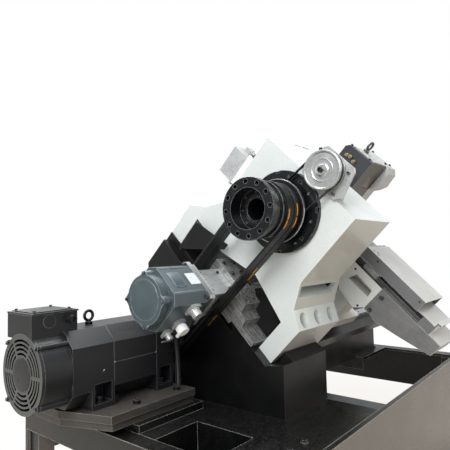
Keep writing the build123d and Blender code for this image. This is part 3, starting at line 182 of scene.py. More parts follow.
def rounded(width, height, radius, steps=5):
    """Corner points of a rectangle with round corners, in millimetres."""
    points = []
    for quarter, (sign_x, sign_y) in enumerate(((1, 1), (-1, 1), (-1, -1), (1, -1))):
        for step in range(steps + 1):
            angle = (quarter + step / steps) * math.pi / 2
            points.append((sign_x * (width / 2 - radius) + radius * math.cos(angle),
                           sign_y * (height / 2 - radius) + radius * math.sin(angle)))
    return points


def plate(outline, thick, place, edge=0.3):
    """A flat plate with softened edges, its underside on the place's plane."""
    part = shell_of([[place @ (Vector((x, y, height)) * MM) for x, y in outline] for height in (0, thick)])
    if edge:
        part.faces.ensure_lookup_table()
        bmesh.ops.bevel(part, geom=list(part.faces[-1].edges), offset=edge * MM, segments=2, profile=0.6,
                        affect="EDGES")
    return part


def thread(radius, pitch, depth, x0, x1, centre, starts_soft=6, steps=24):
    """A screw thread in a shaft along x, closed at both ends, its groove round as a ball screw's is."""
    count = int((x1 - x0) / pitch * 8)
    rings = []
    for index in range(count + 1):
        x = x0 + (x1 - x0) * index / count
        fade = min(1, (x - x0) / starts_soft, (x1 - x) / starts_soft)
        ring = []
        for step in range(steps):
            angle = math.tau * step / steps
            phase = ((x / pitch - step / steps) % 1) * math.tau
            reach = radius - depth * fade * max(0, math.cos(phase)) ** 0.6
            ring.append(centre + Vector((x, reach * math.cos(angle), reach * math.sin(angle))) * MM)
        rings.append(ring)
    return shell_of(rings)


# Finishes
def linear(hex_colour):
    """An sRGB hex colour as linear red, green, blue and alpha."""
    parts = [int(hex_colour[i:i + 2], 16) / 255 for i in (1, 3, 5)]
    return tuple(p / 12.92 if p <= 0.04045 else ((p + 0.055) / 1.055) ** 2.4 for p in parts) + (1,)


def add(tree, kind, links=None, **settings):
    """Adds a node to a tree, with its settings, and sets or links its inputs."""
    made = tree.nodes.new(kind)
    for key, value in settings.items():
        setattr(made, key, value)
    for key, value in (links or {}).items():
        if isinstance(value, bpy.types.NodeSocket):
            tree.links.new(value, made.inputs[key])
        else:
            made.inputs[key].default_value = value
    return made


def look(dark, light, mottle, rough, grain, depth, metallic=0, **more):
    """A finish: two shades that the mottle mixes, mottle size, roughness low and high, grain size and depth.

    More holds the lay of the tool marks, the shade and width of worn edges, and shades for some faces by the
    way they look or the place they are in; most of these face shades are painted light and shade, while the
    dust and the bare flange are the surface's own. Sizes are in mm.
    """
    return dict(shades=(dark, light), mottle=mottle, rough=rough, grain=grain, depth=depth, metallic=metallic,
                **more)


FINISHES = {
    # Satin black enamel sprayed on a rough casting: sandy orange peel, dusty bloom, edges rubbed grey.
    "black_enamel_on_cast_iron": look("#08090a", "#101011", 90, (0.28, 0.46), 4.0, 0.3, wear=("#5f5d59", 2.0),
        dust="#2b2a29", gloss=0.35),
    # Satin black enamel on folded and welded plate: nearly flat; the long side's front face is painted
    # brown-grey, a painted reflection of the floor.
    "grey_brown_enamel_on_steel_plate": look("#0c0c0d", "#171616", 140, (0.26, 0.42), 6.0, 0.2,
        wear=("#c5c2bc", 5.0), dust="#45433f", gloss=0.4, wall="#6e6862"),
    # The motor's two plates: brown-grey machinery paint, rubbed by boots and spanners.
    "brown_grey_machinery_paint": look("#3d3a37", "#4f4b47", 60, (0.36, 0.52), 5.0, 0.2, metallic=0.1,
        wear=("#a8a39c", 3.5), dust="#6b6660", gloss=0.4),
    # Deck plate trodden and oiled: black with pale scuffs and dried splashes.
    "trodden_black_deck_plate": look("#0a0b0c", "#171717", 45, (0.24, 0.5), 5.0, 0.3, metallic=0.1,
        wear=("#c9c6c0", 4.0), dust="#3d3c3a", gloss=0.4),
    # Semi-gloss charcoal stoving enamel on die-cast aluminium: fine even grain, crisp light edges.
    "charcoal_enamel_on_die_casting": look("#141518", "#1c1d20", 70, (0.34, 0.46), 2.0, 0.12,
        wear=("#8a8c90", 2.6), dust="#303133", gloss=0.45),
    # The fan grille: the same enamel with dust on what faces up; its rear-facing face is painted brown-grey,
    # a painted light where the lamps fall on it.
    "charcoal_enamel_dusty_grille": look("#17181a", "#202123", 70, (0.34, 0.46), 2.0, 0.12,
        wear=("#8a8c90", 2.6), dust="#303133", gloss=0.45, flank="#494a46"),
    # White two-pack machine enamel: filled and rubbed smooth before spraying, so broad soft unevenness only.
    # Faces that look down the slant are painted warm grey as painted shade.
    "white_machine_enamel": look("#d2d8d7", "#dfe4e3", 150, (0.32, 0.44), 4.0, 0.06, wear=("#fbfcfc", 2.4),
        coat=0.2, under="#bfbcb4"),
    # Light grey enamel on cast aluminium covers.
    "light_grey_enamel": look("#b4b7b7", "#c3c6c5", 80, (0.38, 0.5), 1.8, 0.08, wear=("#e2e3e2", 1.2)),
    # Smooth blue-grey enamel on an extruded motor body, its front flange left bare.
    "blue_grey_enamel_on_extrusion": look("#434e53", "#536065", 60, (0.34, 0.46), 1.8, 0.08,
        wear=("#bcc8cc", 2.8), bare_from=-4.5),
    # Chemically blackened turned steel: near black with oil sheen, bright where the edges have been knocked.
    "blackened_turned_steel": look("#111215", "#1e2024", 30, (0.24, 0.38), 2.4, 0.05, metallic=0.4,
        wear=("#c9ccd1", 2.6), lay="turned"),
    # Ground bearing steel: bright, with a fine lay along the length.
    "ground_steel": look("#a9acae", "#c2c5c6", 40, (0.18, 0.32), 1.5, 0.03, metallic=1, wear=("#f0f1f2", 1.0),
        lay="x"),
    # Dark cold rolled steel plate as it comes from the mill: streaks along the slant.
    "rolled_steel_plate": look("#4b4b4c", "#636362", 50, (0.34, 0.5), 2.5, 0.04, metallic=0.6,
        wear=("#e9eaea", 2.4), lay="s"),
    # Thick steel plate ground all over: mid grey, bright along its edges.
    "ground_steel_plate": look("#737373", "#8b8b8a", 60, (0.3, 0.44), 2.5, 0.03, metallic=0.4,
        wear=("#f4f4f4", 3.2), lay="s"),
    # Brushed stainless sheet, number four finish, grained across the slide; its rear-facing sides are painted
    # darker, a painted shade.
    "brushed_stainless_sheet": look("#cdcdcb", "#d9d9d6", 70, (0.3, 0.4), 2.4, 0.015, metallic=0.35,
        wear=("#ffffff", 2.2), lay="s", flank="#77777a"),
    # Milled grey iron kept under oil: soft patches, cutter marks and bright edges.
    "milled_oily_iron": look("#7f8080", "#a9aaa9", 46, (0.22, 0.36), 3.0, 0.03, metallic=0.45,
        wear=("#ffffff", 3.2), lay="s"),
    # Turned aluminium, unpainted: pale silver with fine marks along x.
    "turned_aluminium": look("#b4b7b8", "#cdd0d0", 60, (0.26, 0.36), 2.0, 0.01, metallic=0.55,
        wear=("#ffffff", 1.8), lay="x"),
    # The encoder's wheel, faced on a lathe: silver rings about its own axis.
    "faced_aluminium_wheel": look("#a4a7a7", "#d4d6d5", 60, (0.2, 0.32), 2.2, 0.012, metallic=0.7,
        wear=("#ffffff", 1.4), lay="wheel"),
    # The carriage casting: white enamel; everything above its top line is painted near black, the painted
    # shade of the dark gap beneath the slide cover, and faces that look down the slant are painted warm grey
    # as painted shade.
    "white_enamel_with_milled_ways": look("#d9dad6", "#e6e7e2", 120, (0.32, 0.44), 5.0, 0.1,
        wear=("#f6f7f5", 2.2), under="#a59f92", ways="#17181a"),
    # Moulded belt rubber: dull black, rubbed grey along the edges.
    "moulded_belt_rubber": look("#0b0c0d", "#141516", 18, (0.4, 0.56), 1.3, 0.1, wear=("#55575a", 1.6),
        gloss=0.45),
    # Injection-moulded black plastic.
    "moulded_black_plastic": look("#141518", "#1c1d20", 25, (0.34, 0.46), 0.9, 0.04),
    # White moulded nylon cap, a little translucent.
    "moulded_white_nylon": look("#eceeee", "#f6f7f7", 12, (0.3, 0.4), 1.0, 0.02, waxy=0.3),
    # Machined brass pipe fittings.
    "machined_brass": look("#8d7d5a", "#b0a076", 8, (0.2, 0.34), 0.8, 0.02, metallic=0.8,
        wear=("#e9e2cc", 0.9)),
    # Yellow-orange paint stencilled on the belts' edges as plain dashes.
    "stencilled_orange_paint": look("#e8981c", "#f5a623", 3, (0.45, 0.6), 0.8, 0.05),
    # Blank printed label stock: satin white film.
    "blank_label_film": look("#c9cdcf", "#dcdfdf", 12, (0.3, 0.36), 1.0, 0.01),
    # Blank brown-grey anodised plate.
    "blank_anodised_plate": look("#6d665f", "#7d756c", 20, (0.34, 0.42), 1.2, 0.02, metallic=0.5),
    # Grey primed ledge beyond the deck, dulled by dust.
    "grey_primed_ledge": look("#55585a", "#686b6c", 40, (0.45, 0.6), 3.0, 0.05),
    # Red-brown oxide primer brushed on steel.
    "red_oxide_primer": look("#5a3a30", "#744a3c", 10, (0.5, 0.7), 1.5, 0.12),
    # Dark slate-blue enamel on the turret drive; faces that look down the slant are painted brown-grey as
    # painted bounce light from the floor.
    "slate_enamel_on_casting": look("#23262c", "#2d3037", 60, (0.34, 0.46), 1.8, 0.1, wear=("#8b8f98", 2.2),
        under="#5f574e"),
    # Red plastic tip of a plug.
    "moulded_red_plastic": look("#a33b3d", "#b84a4a", 6, (0.35, 0.45), 0.8, 0.02),
}

SLOT_FINISH = {
    "black_paint": "black_enamel_on_cast_iron", "charcoal_paint": "charcoal_enamel_on_die_casting",
    "white_paint": "white_machine_enamel", "light_grey_paint": "light_grey_enamel",
    "blue_grey_paint": "blue_grey_enamel_on_extrusion", "black_steel": "blackened_turned_steel",
    "bright_steel": "ground_steel", "dark_steel": "rolled_steel_plate",
    "stainless_sheet": "brushed_stainless_sheet", "machined_iron": "milled_oily_iron",
    "aluminium": "turned_aluminium", "belt_rubber": "moulded_belt_rubber",
    "black_plastic": "moulded_black_plastic", "white_plastic": "moulded_white_nylon",
    "brass": "machined_brass",
}
NODE_FINISH = {
    "base_frame": "grey_brown_enamel_on_steel_plate", "deck_plates": "trodden_black_deck_plate",
    "motor_plate_upper": "brown_grey_machinery_paint", "motor_plate_lower": "brown_grey_machinery_paint",
    "motor_fan_grille": "charcoal_enamel_dusty_grille", "saddle_arm_plates": "ground_steel_plate",
    "z_saddle": "white_enamel_with_milled_ways", "x_guide_rails": "rolled_steel_plate",
    "encoder_pulley": "faced_aluminium_wheel", "turret_eye_bolt": "rolled_steel_plate",
    "spacer_ring": "blackened_turned_steel", "x_servo": "turned_aluminium",
    "turret_motor": "slate_enamel_on_casting",
}


def maths(tree, operation, *values):
    """The result of a Math node."""
    return add(tree, "ShaderNodeMath", dict(enumerate(values)), operation=operation).outputs[0]


def along_direction(tree, vector, direction):
    """How far a vector reaches along a direction."""
    return add(tree, "ShaderNodeVectorMath", {0: vector, 1: tuple(direction)},
               operation="DOT_PRODUCT").outputs["Value"]


def ramp(tree, value, low, high, start=0, end=1):
    """A value mapped evenly from low and high to start and end."""
    return add(tree, "ShaderNodeMapRange", {0: value, 1: low, 2: high, 3: start, 4: end}).outputs[0]


def tint(tree, share, colour, shade):
    """A colour moved towards a shade by a share."""
    return add(tree, "ShaderNodeMix", {0: share, 6: colour, 7: linear(shade)}, data_type="RGBA").outputs[2]


def noise(tree, place, size, detail, roughness=0.5):
    """Noise whose largest feature has the size given, in mm."""
    return add(tree, "ShaderNodeTexNoise", {"Vector": place, "Scale": 1000 / size, "Detail": detail,
                                            "Roughness": roughness}).outputs[0]


def tool_marks(tree, place, lay):
    """Where the grain is read: streaks along x or the slant, or rings about the spindle or encoder wheel."""
    if lay == "x":
        return add(tree, "ShaderNodeMapping", {"Vector": place, "Scale": (0.04, 1, 1)}).outputs[0]
    if lay == "s":
        turned_place = add(tree, "ShaderNodeMapping",
                           {"Vector": place, "Rotation": (math.radians(-45), 0, 0)})
        return add(tree, "ShaderNodeMapping", {"Vector": turned_place.outputs[0],
                                               "Scale": (1, 0.05, 1)}).outputs[0]
    if lay in ("turned", "wheel"):
        axis = SPINDLE if lay == "turned" else slope_spot(0, ENCODER_S, ENCODER_N)
        centred = add(tree, "ShaderNodeVectorMath", {0: place, 1: tuple(axis)}, operation="SUBTRACT")
        flat = add(tree, "ShaderNodeVectorMath", {0: centred.outputs[0], 1: (0, 1, 1)}, operation="MULTIPLY")
        reach = add(tree, "ShaderNodeVectorMath", {0: flat.outputs[0]}, operation="LENGTH")
        along = add(tree, "ShaderNodeSeparateXYZ", {0: centred.outputs[0]})
        return add(tree, "ShaderNodeCombineXYZ", {0: along.outputs[0], 1: reach.outputs["Value"]}).outputs[0]
    return place


def finish(name):
    """The procedural material of that name, made once."""
    if name in bpy.data.materials:
        return bpy.data.materials[name]
    look_of = FINISHES[name]
    shades = look_of["shades"]
    material = bpy.data.materials.new(name)
    material.use_nodes = True
    tree = material.node_tree
    tree.nodes.clear()
    place = add(tree, "ShaderNodeTexCoord").outputs["Object"]
    surface = add(tree, "ShaderNodeNewGeometry")
    marks = tool_marks(tree, place, look_of.get("lay"))
    mottle = noise(tree, place, look_of["mottle"], 5, 0.62)
    grain = noise(tree, marks, look_of["grain"], 2)
    patches = ramp(tree, mottle, 0.36, 0.66)
    streaks = ramp(tree, grain, 0.3, 0.7)
    # The mottle shows where the grain is high, and a little of the grain shows everywhere
    blend = maths(tree, "MULTIPLY_ADD", patches, streaks, maths(tree, "MULTIPLY", streaks, 0.3))
    colour = tint(tree, blend, linear(shades[0]), shades[1])
    rough = ramp(tree, blend, 0, 1, *look_of["rough"])
    metal = None
    split = add(tree, "ShaderNodeSeparateXYZ", {0: surface.outputs["Normal"]})
    if "wall" in look_of:
        # Painted reflection: the long side's outer face, turned to the front, is painted brown-grey for the
        # floor it mirrors
        colour = tint(tree, ramp(tree, split.outputs[1], -0.5, -0.9), colour, look_of["wall"])
    if "flank" in look_of:
        # Painted light and shade: faces turned to the rear get a flat painted tone, lighter on the grille's
        # face, darker on the stainless cover's sides
        colour = tint(tree, ramp(tree, split.outputs[0], -0.5, -0.9), colour, look_of["flank"])
    if "under" in look_of:
        # Painted light and shade: faces that look down the slant are painted a warm tone, standing in for the
        # floor's bounce light
        slantwise = along_direction(tree, surface.outputs["Normal"], S_DIR)
        colour = tint(tree, ramp(tree, slantwise, 0.55, 0.95, 0, 0.75), colour, look_of["under"])
    if "ways" in look_of:
        # Painted shade: everything above the casting's top line is painted near black for the dark gap
        # beneath the slide cover
        top_line = slope_spot(0, 0, -85).dot(N_DIR)
        above = maths(tree, "GREATER_THAN", along_direction(tree, place, N_DIR), top_line)
        colour = tint(tree, above, colour, look_of["ways"])
    if "dust" in look_of:
        # Dust settles on what faces up, in patches
        specks = noise(tree, place, 9, 6, 0.8)
        dusty = maths(tree, "MULTIPLY", ramp(tree, split.outputs[2], 0.75, 1.0),
                      ramp(tree, specks, 0.48, 0.75))
        colour = tint(tree, dusty, colour, look_of["dust"])
    if "bare_from" in look_of:
        # The flange at the motor's front is left bare
        along = add(tree, "ShaderNodeSeparateXYZ", {0: place})
        metal = maths(tree, "GREATER_THAN", along.outputs[0], SPINDLE.x + look_of["bare_from"] * MM)
        colour = tint(tree, metal, colour, "#c4c6c7")
    if "wear" in look_of:
        # Rubbed edges: where the rounded normal leaves the true one, broken up by the mottle
        soft = add(tree, "ShaderNodeBevel", {"Radius": look_of["wear"][1] * MM}, samples=4)
        match = add(tree, "ShaderNodeVectorMath", {0: soft.outputs[0], 1: surface.outputs["Normal"]},
                    operation="DOT_PRODUCT").outputs["Value"]
        reach = ramp(tree, noise(tree, place, 12, 4), 0.38, 0.68, 0.985, 0.80)
        worn = maths(tree, "MULTIPLY", ramp(tree, match, reach, 0.72), 0.85)
        colour = tint(tree, worn, colour, look_of["wear"][0])
        rough = add(tree, "ShaderNodeMix", {0: worn, 2: rough, 3: 0.4}).outputs[0]
    shell = add(tree, "ShaderNodeBump", {"Height": grain, "Strength": 0.6,
                                         "Distance": look_of["depth"] * MM})
    shader = add(tree, "ShaderNodeBsdfPrincipled", {
        "Base Color": colour, "Roughness": rough, "Metallic": look_of["metallic"], "Normal": shell.outputs[0],
        "Specular IOR Level": look_of.get("gloss", 0.5), "Coat Weight": look_of.get("coat", 0.0),
        "Subsurface Weight": look_of.get("waxy", 0.0)})
    shader.inputs["Subsurface Scale"].default_value = 0.004
    if metal:
        tree.links.new(metal, shader.inputs["Metallic"])
    add(tree, "ShaderNodeOutputMaterial", {"Surface": shader.outputs[0]})
    return material


# Fasteners: Geometry Nodes put one template on every point
def fastener_tree():
    """Instances a fastener on points, turned by the points' own attribute and sized by one given size, and
    makes it real.
    """
    tree = bpy.data.node_groups.get("fasteners_on_points")
    if tree:
        return tree
    tree = bpy.data.node_groups.new("fasteners_on_points", "GeometryNodeTree")
    for label, kind in (("Points", "NodeSocketGeometry"), ("Fastener", "NodeSocketObject"),
                        ("Size", "NodeSocketFloat"), ("Finish", "NodeSocketMaterial")):
        tree.interface.new_socket(label, in_out="INPUT", socket_type=kind)
    tree.interface.new_socket("Fasteners", in_out="OUTPUT", socket_type="NodeSocketGeometry")
    given = add(tree, "NodeGroupInput").outputs
    template = add(tree, "GeometryNodeObjectInfo", {"Object": given["Fastener"]})
    turn = add(tree, "GeometryNodeInputNamedAttribute", {"Name": "turn"}, data_type="FLOAT_VECTOR")
    placed = add(tree, "GeometryNodeInstanceOnPoints", {
        "Points": given["Points"], "Instance": template.outputs["Geometry"],
        "Rotation": turn.outputs[0], "Scale": given["Size"]})
    real = add(tree, "GeometryNodeRealizeInstances", {0: placed.outputs[0]})
    painted = add(tree, "GeometryNodeSetMaterial", {"Geometry": real.outputs[0], "Material": given["Finish"]})
    add(tree, "NodeGroupOutput", {0: painted.outputs[0]})
    return tree


def cap_screw_shape():
    """A socket head cap screw of 1 mm head radius, with its six-sided socket."""
    part = turned([(0, 0), (0, 1), (0.95, 1), (1.1, 0.86), (1.1, 0)], Matrix.Identity(4), 18)
    caps = [f for f in part.faces if all(abs(v.co.z - 1.1 * MM) < 1e-9 for v in f.verts)]
    bmesh.ops.delete(part, geom=caps, context="FACES")
    for v in [v for v in part.verts if not v.link_faces]:
        part.verts.remove(v)
    rim = [v for v in part.verts if abs(v.co.z - 1.1 * MM) < 1e-9]
    rim.sort(key=lambda v: math.atan2(v.co.y, v.co.x))
    inner = []
    deep = []
    for v in rim:
        angle = math.atan2(v.co.y, v.co.x)
        reach = 0.52 / math.cos((angle % (math.pi / 3)) - math.pi / 6) * 0.9 * MM
        inner.append(part.verts.new((reach * math.cos(angle), reach * math.sin(angle), 1.1 * MM)))
        deep.append(part.verts.new((reach * math.cos(angle), reach * math.sin(angle), 0.45 * MM)))
    for k in range(len(rim)):
        after = (k + 1) % len(rim)
        part.faces.new((rim[k], rim[after], inner[after], inner[k]))
        part.faces.new((inner[k], inner[after], deep[after], deep[k]))
    part.faces.new(deep)
    return part


def hex_bolt_shape():
    """A hexagon head on its washer, washer radius 1 mm."""
    washer = turned([(0, 0), (0, 1), (0.14, 1), (0.18, 0.95), (0.18, 0)], Matrix.Identity(4), 20)
    head = plate(circle(0.78, range(0, 360, 60)), 0.62, Matrix.Translation((0, 0, 0.18 * MM)), edge=0.07)
    return washer, head


def button_shape():
    """A low dome, such as a rivet or a plugged hole, 1 mm radius."""
    return turned([(0, 0), (0, 1), (0.12, 0.98), (0.26, 0.8), (0.34, 0.45), (0.36, 0)], Matrix.Identity(4),
                  16)


def countersunk_shape():
    """A hole's rim standing on the surface: a flat ring round a dished middle, 1 mm radius; in a dark finish
    it is the hole's painted shadow.
    """
    return turned([(0, 0), (0, 1), (0.10, 1), (0.12, 0.9), (0.05, 0.7), (0.05, 0)], Matrix.Identity(4), 16)


TEMPLATES = {"cap_screw": lambda: [cap_screw_shape()], "hex_bolt": lambda: list(hex_bolt_shape()),
             "button": lambda: [button_shape()], "drilled": lambda: [countersunk_shape()]}


def fasteners(name, kind, radius, places, body, slot_name="black_steel", finish_name=None):
    """Fasteners of one kind and size at (point, outward direction), as one piece on a body."""
    template = bpy.data.objects.new(name + "_template", smooth_by_angle(joined(TEMPLATES[kind]())))
    cloud = bpy.data.meshes.new(name + "_points")
    cloud.from_pydata([point for point, _ in places], [], [])
    turn = cloud.attributes.new("turn", "FLOAT_VECTOR", "POINT")
    for index, (_, out) in enumerate(places):
        turn.data[index].vector = out.to_track_quat("Z", "Y").to_euler()
    holder = bpy.data.objects.new(name + "_holder", cloud)
    bpy.context.scene.collection.objects.link(holder)
    bpy.context.scene.collection.objects.link(template)
    modifier = holder.modifiers.new("fasteners", "NODES")
    modifier.node_group = fastener_tree()
    values = {"Fastener": template, "Size": float(radius),
              "Finish": finish(finish_name or SLOT_FINISH[slot_name])}
    for socket in modifier.node_group.interface.items_tree:
        if socket.in_out == "INPUT" and socket.name in values:
            modifier[socket.identifier] = values[socket.name]
    bpy.context.view_layer.update()
    seen = holder.evaluated_get(bpy.context.evaluated_depsgraph_get())
    mesh = bpy.data.meshes.new_from_object(seen)
    mesh.name = name
    holder.modifiers.clear()
    for spare in (holder, template):
        bpy.data.objects.remove(spare)
    return ridden(name, mesh, body)


# Sizes and colours that a user would change
class LatheSizes(bpy.types.PropertyGroup):
    """The sizes and colours of the lathe's small pieces."""
    mark_width: bpy.props.FloatProperty(
        name="Belt mark width", description="Width of the plain dashes painted on the belts, in mm",
        default=5.5, min=1, max=20)
    mark_colour: bpy.props.FloatVectorProperty(
        name="Belt mark colour", description="Colour of the dashes on the belts", subtype="COLOR",
        default=linear("#f5a623")[:3], min=0, max=1)
    screw_pitch: bpy.props.FloatProperty(
        name="Ball screw lead", description="Travel of the carriage for each turn of the screw, in mm",
        default=10, min=4, max=40)
    groove_depth: bpy.props.FloatProperty(
        name="Thread depth", description="Depth of the ball groove, in mm", default=2.2, min=0.2, max=5)
    headstock_colour: bpy.props.FloatVectorProperty(
        name="Casting colour", description="Lighter shade of the white enamel on the castings",
        subtype="COLOR", default=linear("#dfe4e3")[:3], min=0, max=1)
    label_width: bpy.props.FloatProperty(
        name="Label width", description="Width of the blank label on the feed motor, in mm",
        default=46, min=10, max=90)
    wheel_dish: bpy.props.FloatProperty(
        name="Encoder wheel dish", description="How far the encoder wheel's rim stands out of its web, in mm",
        default=3.6, min=0.5, max=8)
    light_level: bpy.props.FloatProperty(
        name="Light level", description="Strength of the studio lamps, one as rendered",
        default=1, min=0, max=4)
    floor_reach: bpy.props.FloatProperty(
        name="Floor reach", description="Half the width of the studio floor", default=30, min=3,
        subtype="DISTANCE", unit="LENGTH")


class LATHE_OT_finishes(bpy.types.Operator):
    """Give every part of the lathe its own finish."""
    bl_idname = "lathe.finishes"
    bl_label = "Finishes"

    def execute(self, context):
        slots = {part["node"]: part["slot"] for part in slot_list()}
        for name, part in nodes.items():
            material = finish(NODE_FINISH.get(name, SLOT_FINISH[slots[name]]))
            for place in part.material_slots:
                place.material = material
        enamel = bpy.data.materials["white_machine_enamel"].node_tree
        for mix in (n for n in enamel.nodes if n.bl_idname == "ShaderNodeMix" and not n.inputs[6].is_linked):
            mix.inputs[7].default_value = tuple(context.scene.lathe_sizes.headstock_colour) + (1,)
        return {"FINISHED"}


def slot_list():
    """The record's nodes with their material slots."""
    found = []
    waiting = [frame["record"]]
    while waiting:
        item = waiting.pop()
        if isinstance(item, dict):
            slot_name = item.get("slot") or item.get("material_slot")
            node_name = item.get("node") or item.get("name")
            if slot_name in SLOT_FINISH and node_name in nodes:
                found.append({"node": node_name, "slot": slot_name})
            waiting.extend(item.values())
        elif isinstance(item, list):
            waiting.extend(item)
    return found


# Belts and spindle motor
BELT_OUTER = 95.3
MOTOR_BELT_OUTER = 85.3
MOTOR_Y, MOTOR_Z = 520, -484
MOTOR_SIDE_Y, MOTOR_TOP_Z, MOTOR_REAR_X = MOTOR_Y - 114, MOTOR_Z + 118, -450


class LATHE_OT_belt_marks(bpy.types.Operator):
    """Paint the plain orange dashes on the outside of the drive belts."""
    bl_idname = "lathe.belt_marks"
    bl_label = "Belt marks"

    def execute(self, context):
        sizes = context.scene.lathe_sizes
        reach = math.hypot(MOTOR_Y, MOTOR_Z)
        along = Vector((0, MOTOR_Y, MOTOR_Z)) / reach
        lean = (BELT_OUTER - MOTOR_BELT_OUTER) / reach
        out = Vector((0, MOTOR_Z, -MOTOR_Y)) / reach * math.sqrt(1 - lean * lean) + along * lean
        strand_angle = math.atan2(out.z, out.y)
        run = (along - out * lean).normalized()
        parts = []

        def on_belt(x, distance, lift):
            """A point on the belts' outside. Distance is along the front run from the spindle's wheel."""
            if distance < 0:
                angle = strand_angle + distance / BELT_OUTER
                way = Vector((0, math.cos(angle), math.sin(angle)))
                return SPINDLE + (X_DIR * x + way * (BELT_OUTER + lift)) * MM
            return SPINDLE + (X_DIR * x + out * (BELT_OUTER + lift) + run * distance) * MM

        # The dashes: x, then start and end along the belt, where wrap is one degree on the spindle's wheel
        wrap = BELT_OUTER * math.radians(1)
        dashes = [(93, -46 * wrap, -26 * wrap), (93, -23.5 * wrap, -5 * wrap), (141, -58 * wrap, -34 * wrap),
                  (141, -31 * wrap, -9 * wrap), (139, 176, 203), (145, 206, 240), (141, 430, 462),
                  (142, 466, 494)]
        for x, start, end in dashes:
            count = max(2, int((end - start) / 4))
            rows = []
            for step in range(count + 1):
                half = sizes.mark_width / 2 * (0.7 if step in (0, count) else 1)
                rows.append([on_belt(x + side * half, start + (end - start) * step / count, lift)
                             for side, lift in ((-1, 0.02), (-1, 0.35), (1, 0.35), (1, 0.02))])
            parts.append(shell_of(rows))
        piece_from("belt_marks", parts, "bed", "belt_rubber", "stencilled_orange_paint")
        paint = finish("stencilled_orange_paint").node_tree
        mixes = [n for n in paint.nodes if n.bl_idname == "ShaderNodeMix"]
        mixes[0].inputs[7].default_value = tuple(sizes.mark_colour) + (1,)
        return {"FINISHED"}


# Ball screws and feed motor
SERVO_S, SERVO_N = 4, -386
SERVO_HALF, SERVO_REAR_X = 84, -185
# Its cap: radius and the lugs' rise in mm, and half a lug's width in radians
SERVO_CAP_RADIUS, SERVO_LUG_RISE, SERVO_LUG_HALF = 79, 13, 0.17
CROSS_X, CROSS_N = 745, -193


class LATHE_OT_threads(bpy.types.Operator):
    """Cut the ball grooves on both feed screws."""
    bl_idname = "lathe.threads"
    bl_label = "Ball screw threads"

    def execute(self, context):
        sizes = context.scene.lathe_sizes
        depth, lead = sizes.groove_depth, sizes.screw_pitch
        centre = slope_spot(0, SERVO_S, SERVO_N)
        base = on_slope(0, SERVO_S, SERVO_N, X_DIR, S_DIR)
        coupling = turned([(44, 0), (44, 32), (46, 34), (78, 34), (79, 30), (87, 30), (88, 34), (120, 34),
                           (122, 32), (122, 0)], base)
        journal = turned([(14.3, 0), (14.3, 16), (270, 16), (272, 15), (272, 0)], base)
        tail = turned([(1322, 0), (1322, 15), (1324, 16), (1369, 16), (1370, 15), (1370, 0)], base)
        grooved = thread(16, lead, depth, 272, 1322, centre)
        screw = piece_from("z_screw_thread", [coupling, journal, grooved, tail], "z_screw", "bright_steel",
                           smooth=40)
        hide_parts("z_ballscrew")
        cross = thread(10, lead / 2, depth * 0.6, -190, 190, Vector((0, 0, 0)), steps=20)
        turn = Matrix((S_DIR, X_DIR, -N_DIR)).transposed().to_4x4()
        turn.translation = slope_spot(CROSS_X, 0, CROSS_N)
        bmesh.ops.transform(cross, matrix=turn, verts=cross.verts)
        ends = on_slope(CROSS_X, 0, CROSS_N, S_DIR, X_DIR)
        shafts = [turned([(-559.7, 0), (-559.7, 9), (-558, 10), (-190, 10), (-190, 0)], ends, 32),
                  turned([(190, 0), (190, 10), (193, 10), (194, 9), (194, 0)], ends, 32)]
        cross_screw = piece_from("x_screw_thread", [cross] + shafts, "x_screw", "bright_steel", smooth=40)
        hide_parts("x_ballscrew")
        return {"FINISHED"}


class LATHE_OT_encoder_face(bpy.types.Operator):
    """Turn the encoder wheel's dished face, with its hub and cap screw."""
    bl_idname = "lathe.encoder_face"
    bl_label = "Encoder wheel"

    def execute(self, context):
        dish = context.scene.lathe_sizes.wheel_dish
        front = on_slope(166, ENCODER_S, ENCODER_N, -X_DIR, S_DIR)
        face = turned([(0, 0), (0, 64.6), (1.4, 64.6), (2 + dish, 63.4), (2.4 + dish, 62.4),
                       (2.4 + dish, 58.6), (2 + dish, 57.8), (1.5, 54.5), (1.2, 45), (1.6, 39), (2.6, 37.6),
                       (2.9, 36.8), (2.9, 35.6), (2.3, 34.8), (1.8, 32), (2.2, 24), (3.4, 19), (4.8, 17.4),
                       (8.6, 16.8), (9, 16.2), (9, 0)], front, 72)
        piece_from("encoder_wheel_face", [face], "encoder_wheel", "aluminium", "faced_aluminium_wheel",
                   smooth=28)
        cap = Vector(front.translation) - X_DIR * 9 * MM
        fasteners("encoder_cap_screw", "cap_screw", 8.5, [(cap, -X_DIR)], "encoder_wheel",
                  "black_steel", "moulded_black_plastic")
        return {"FINISHED"}


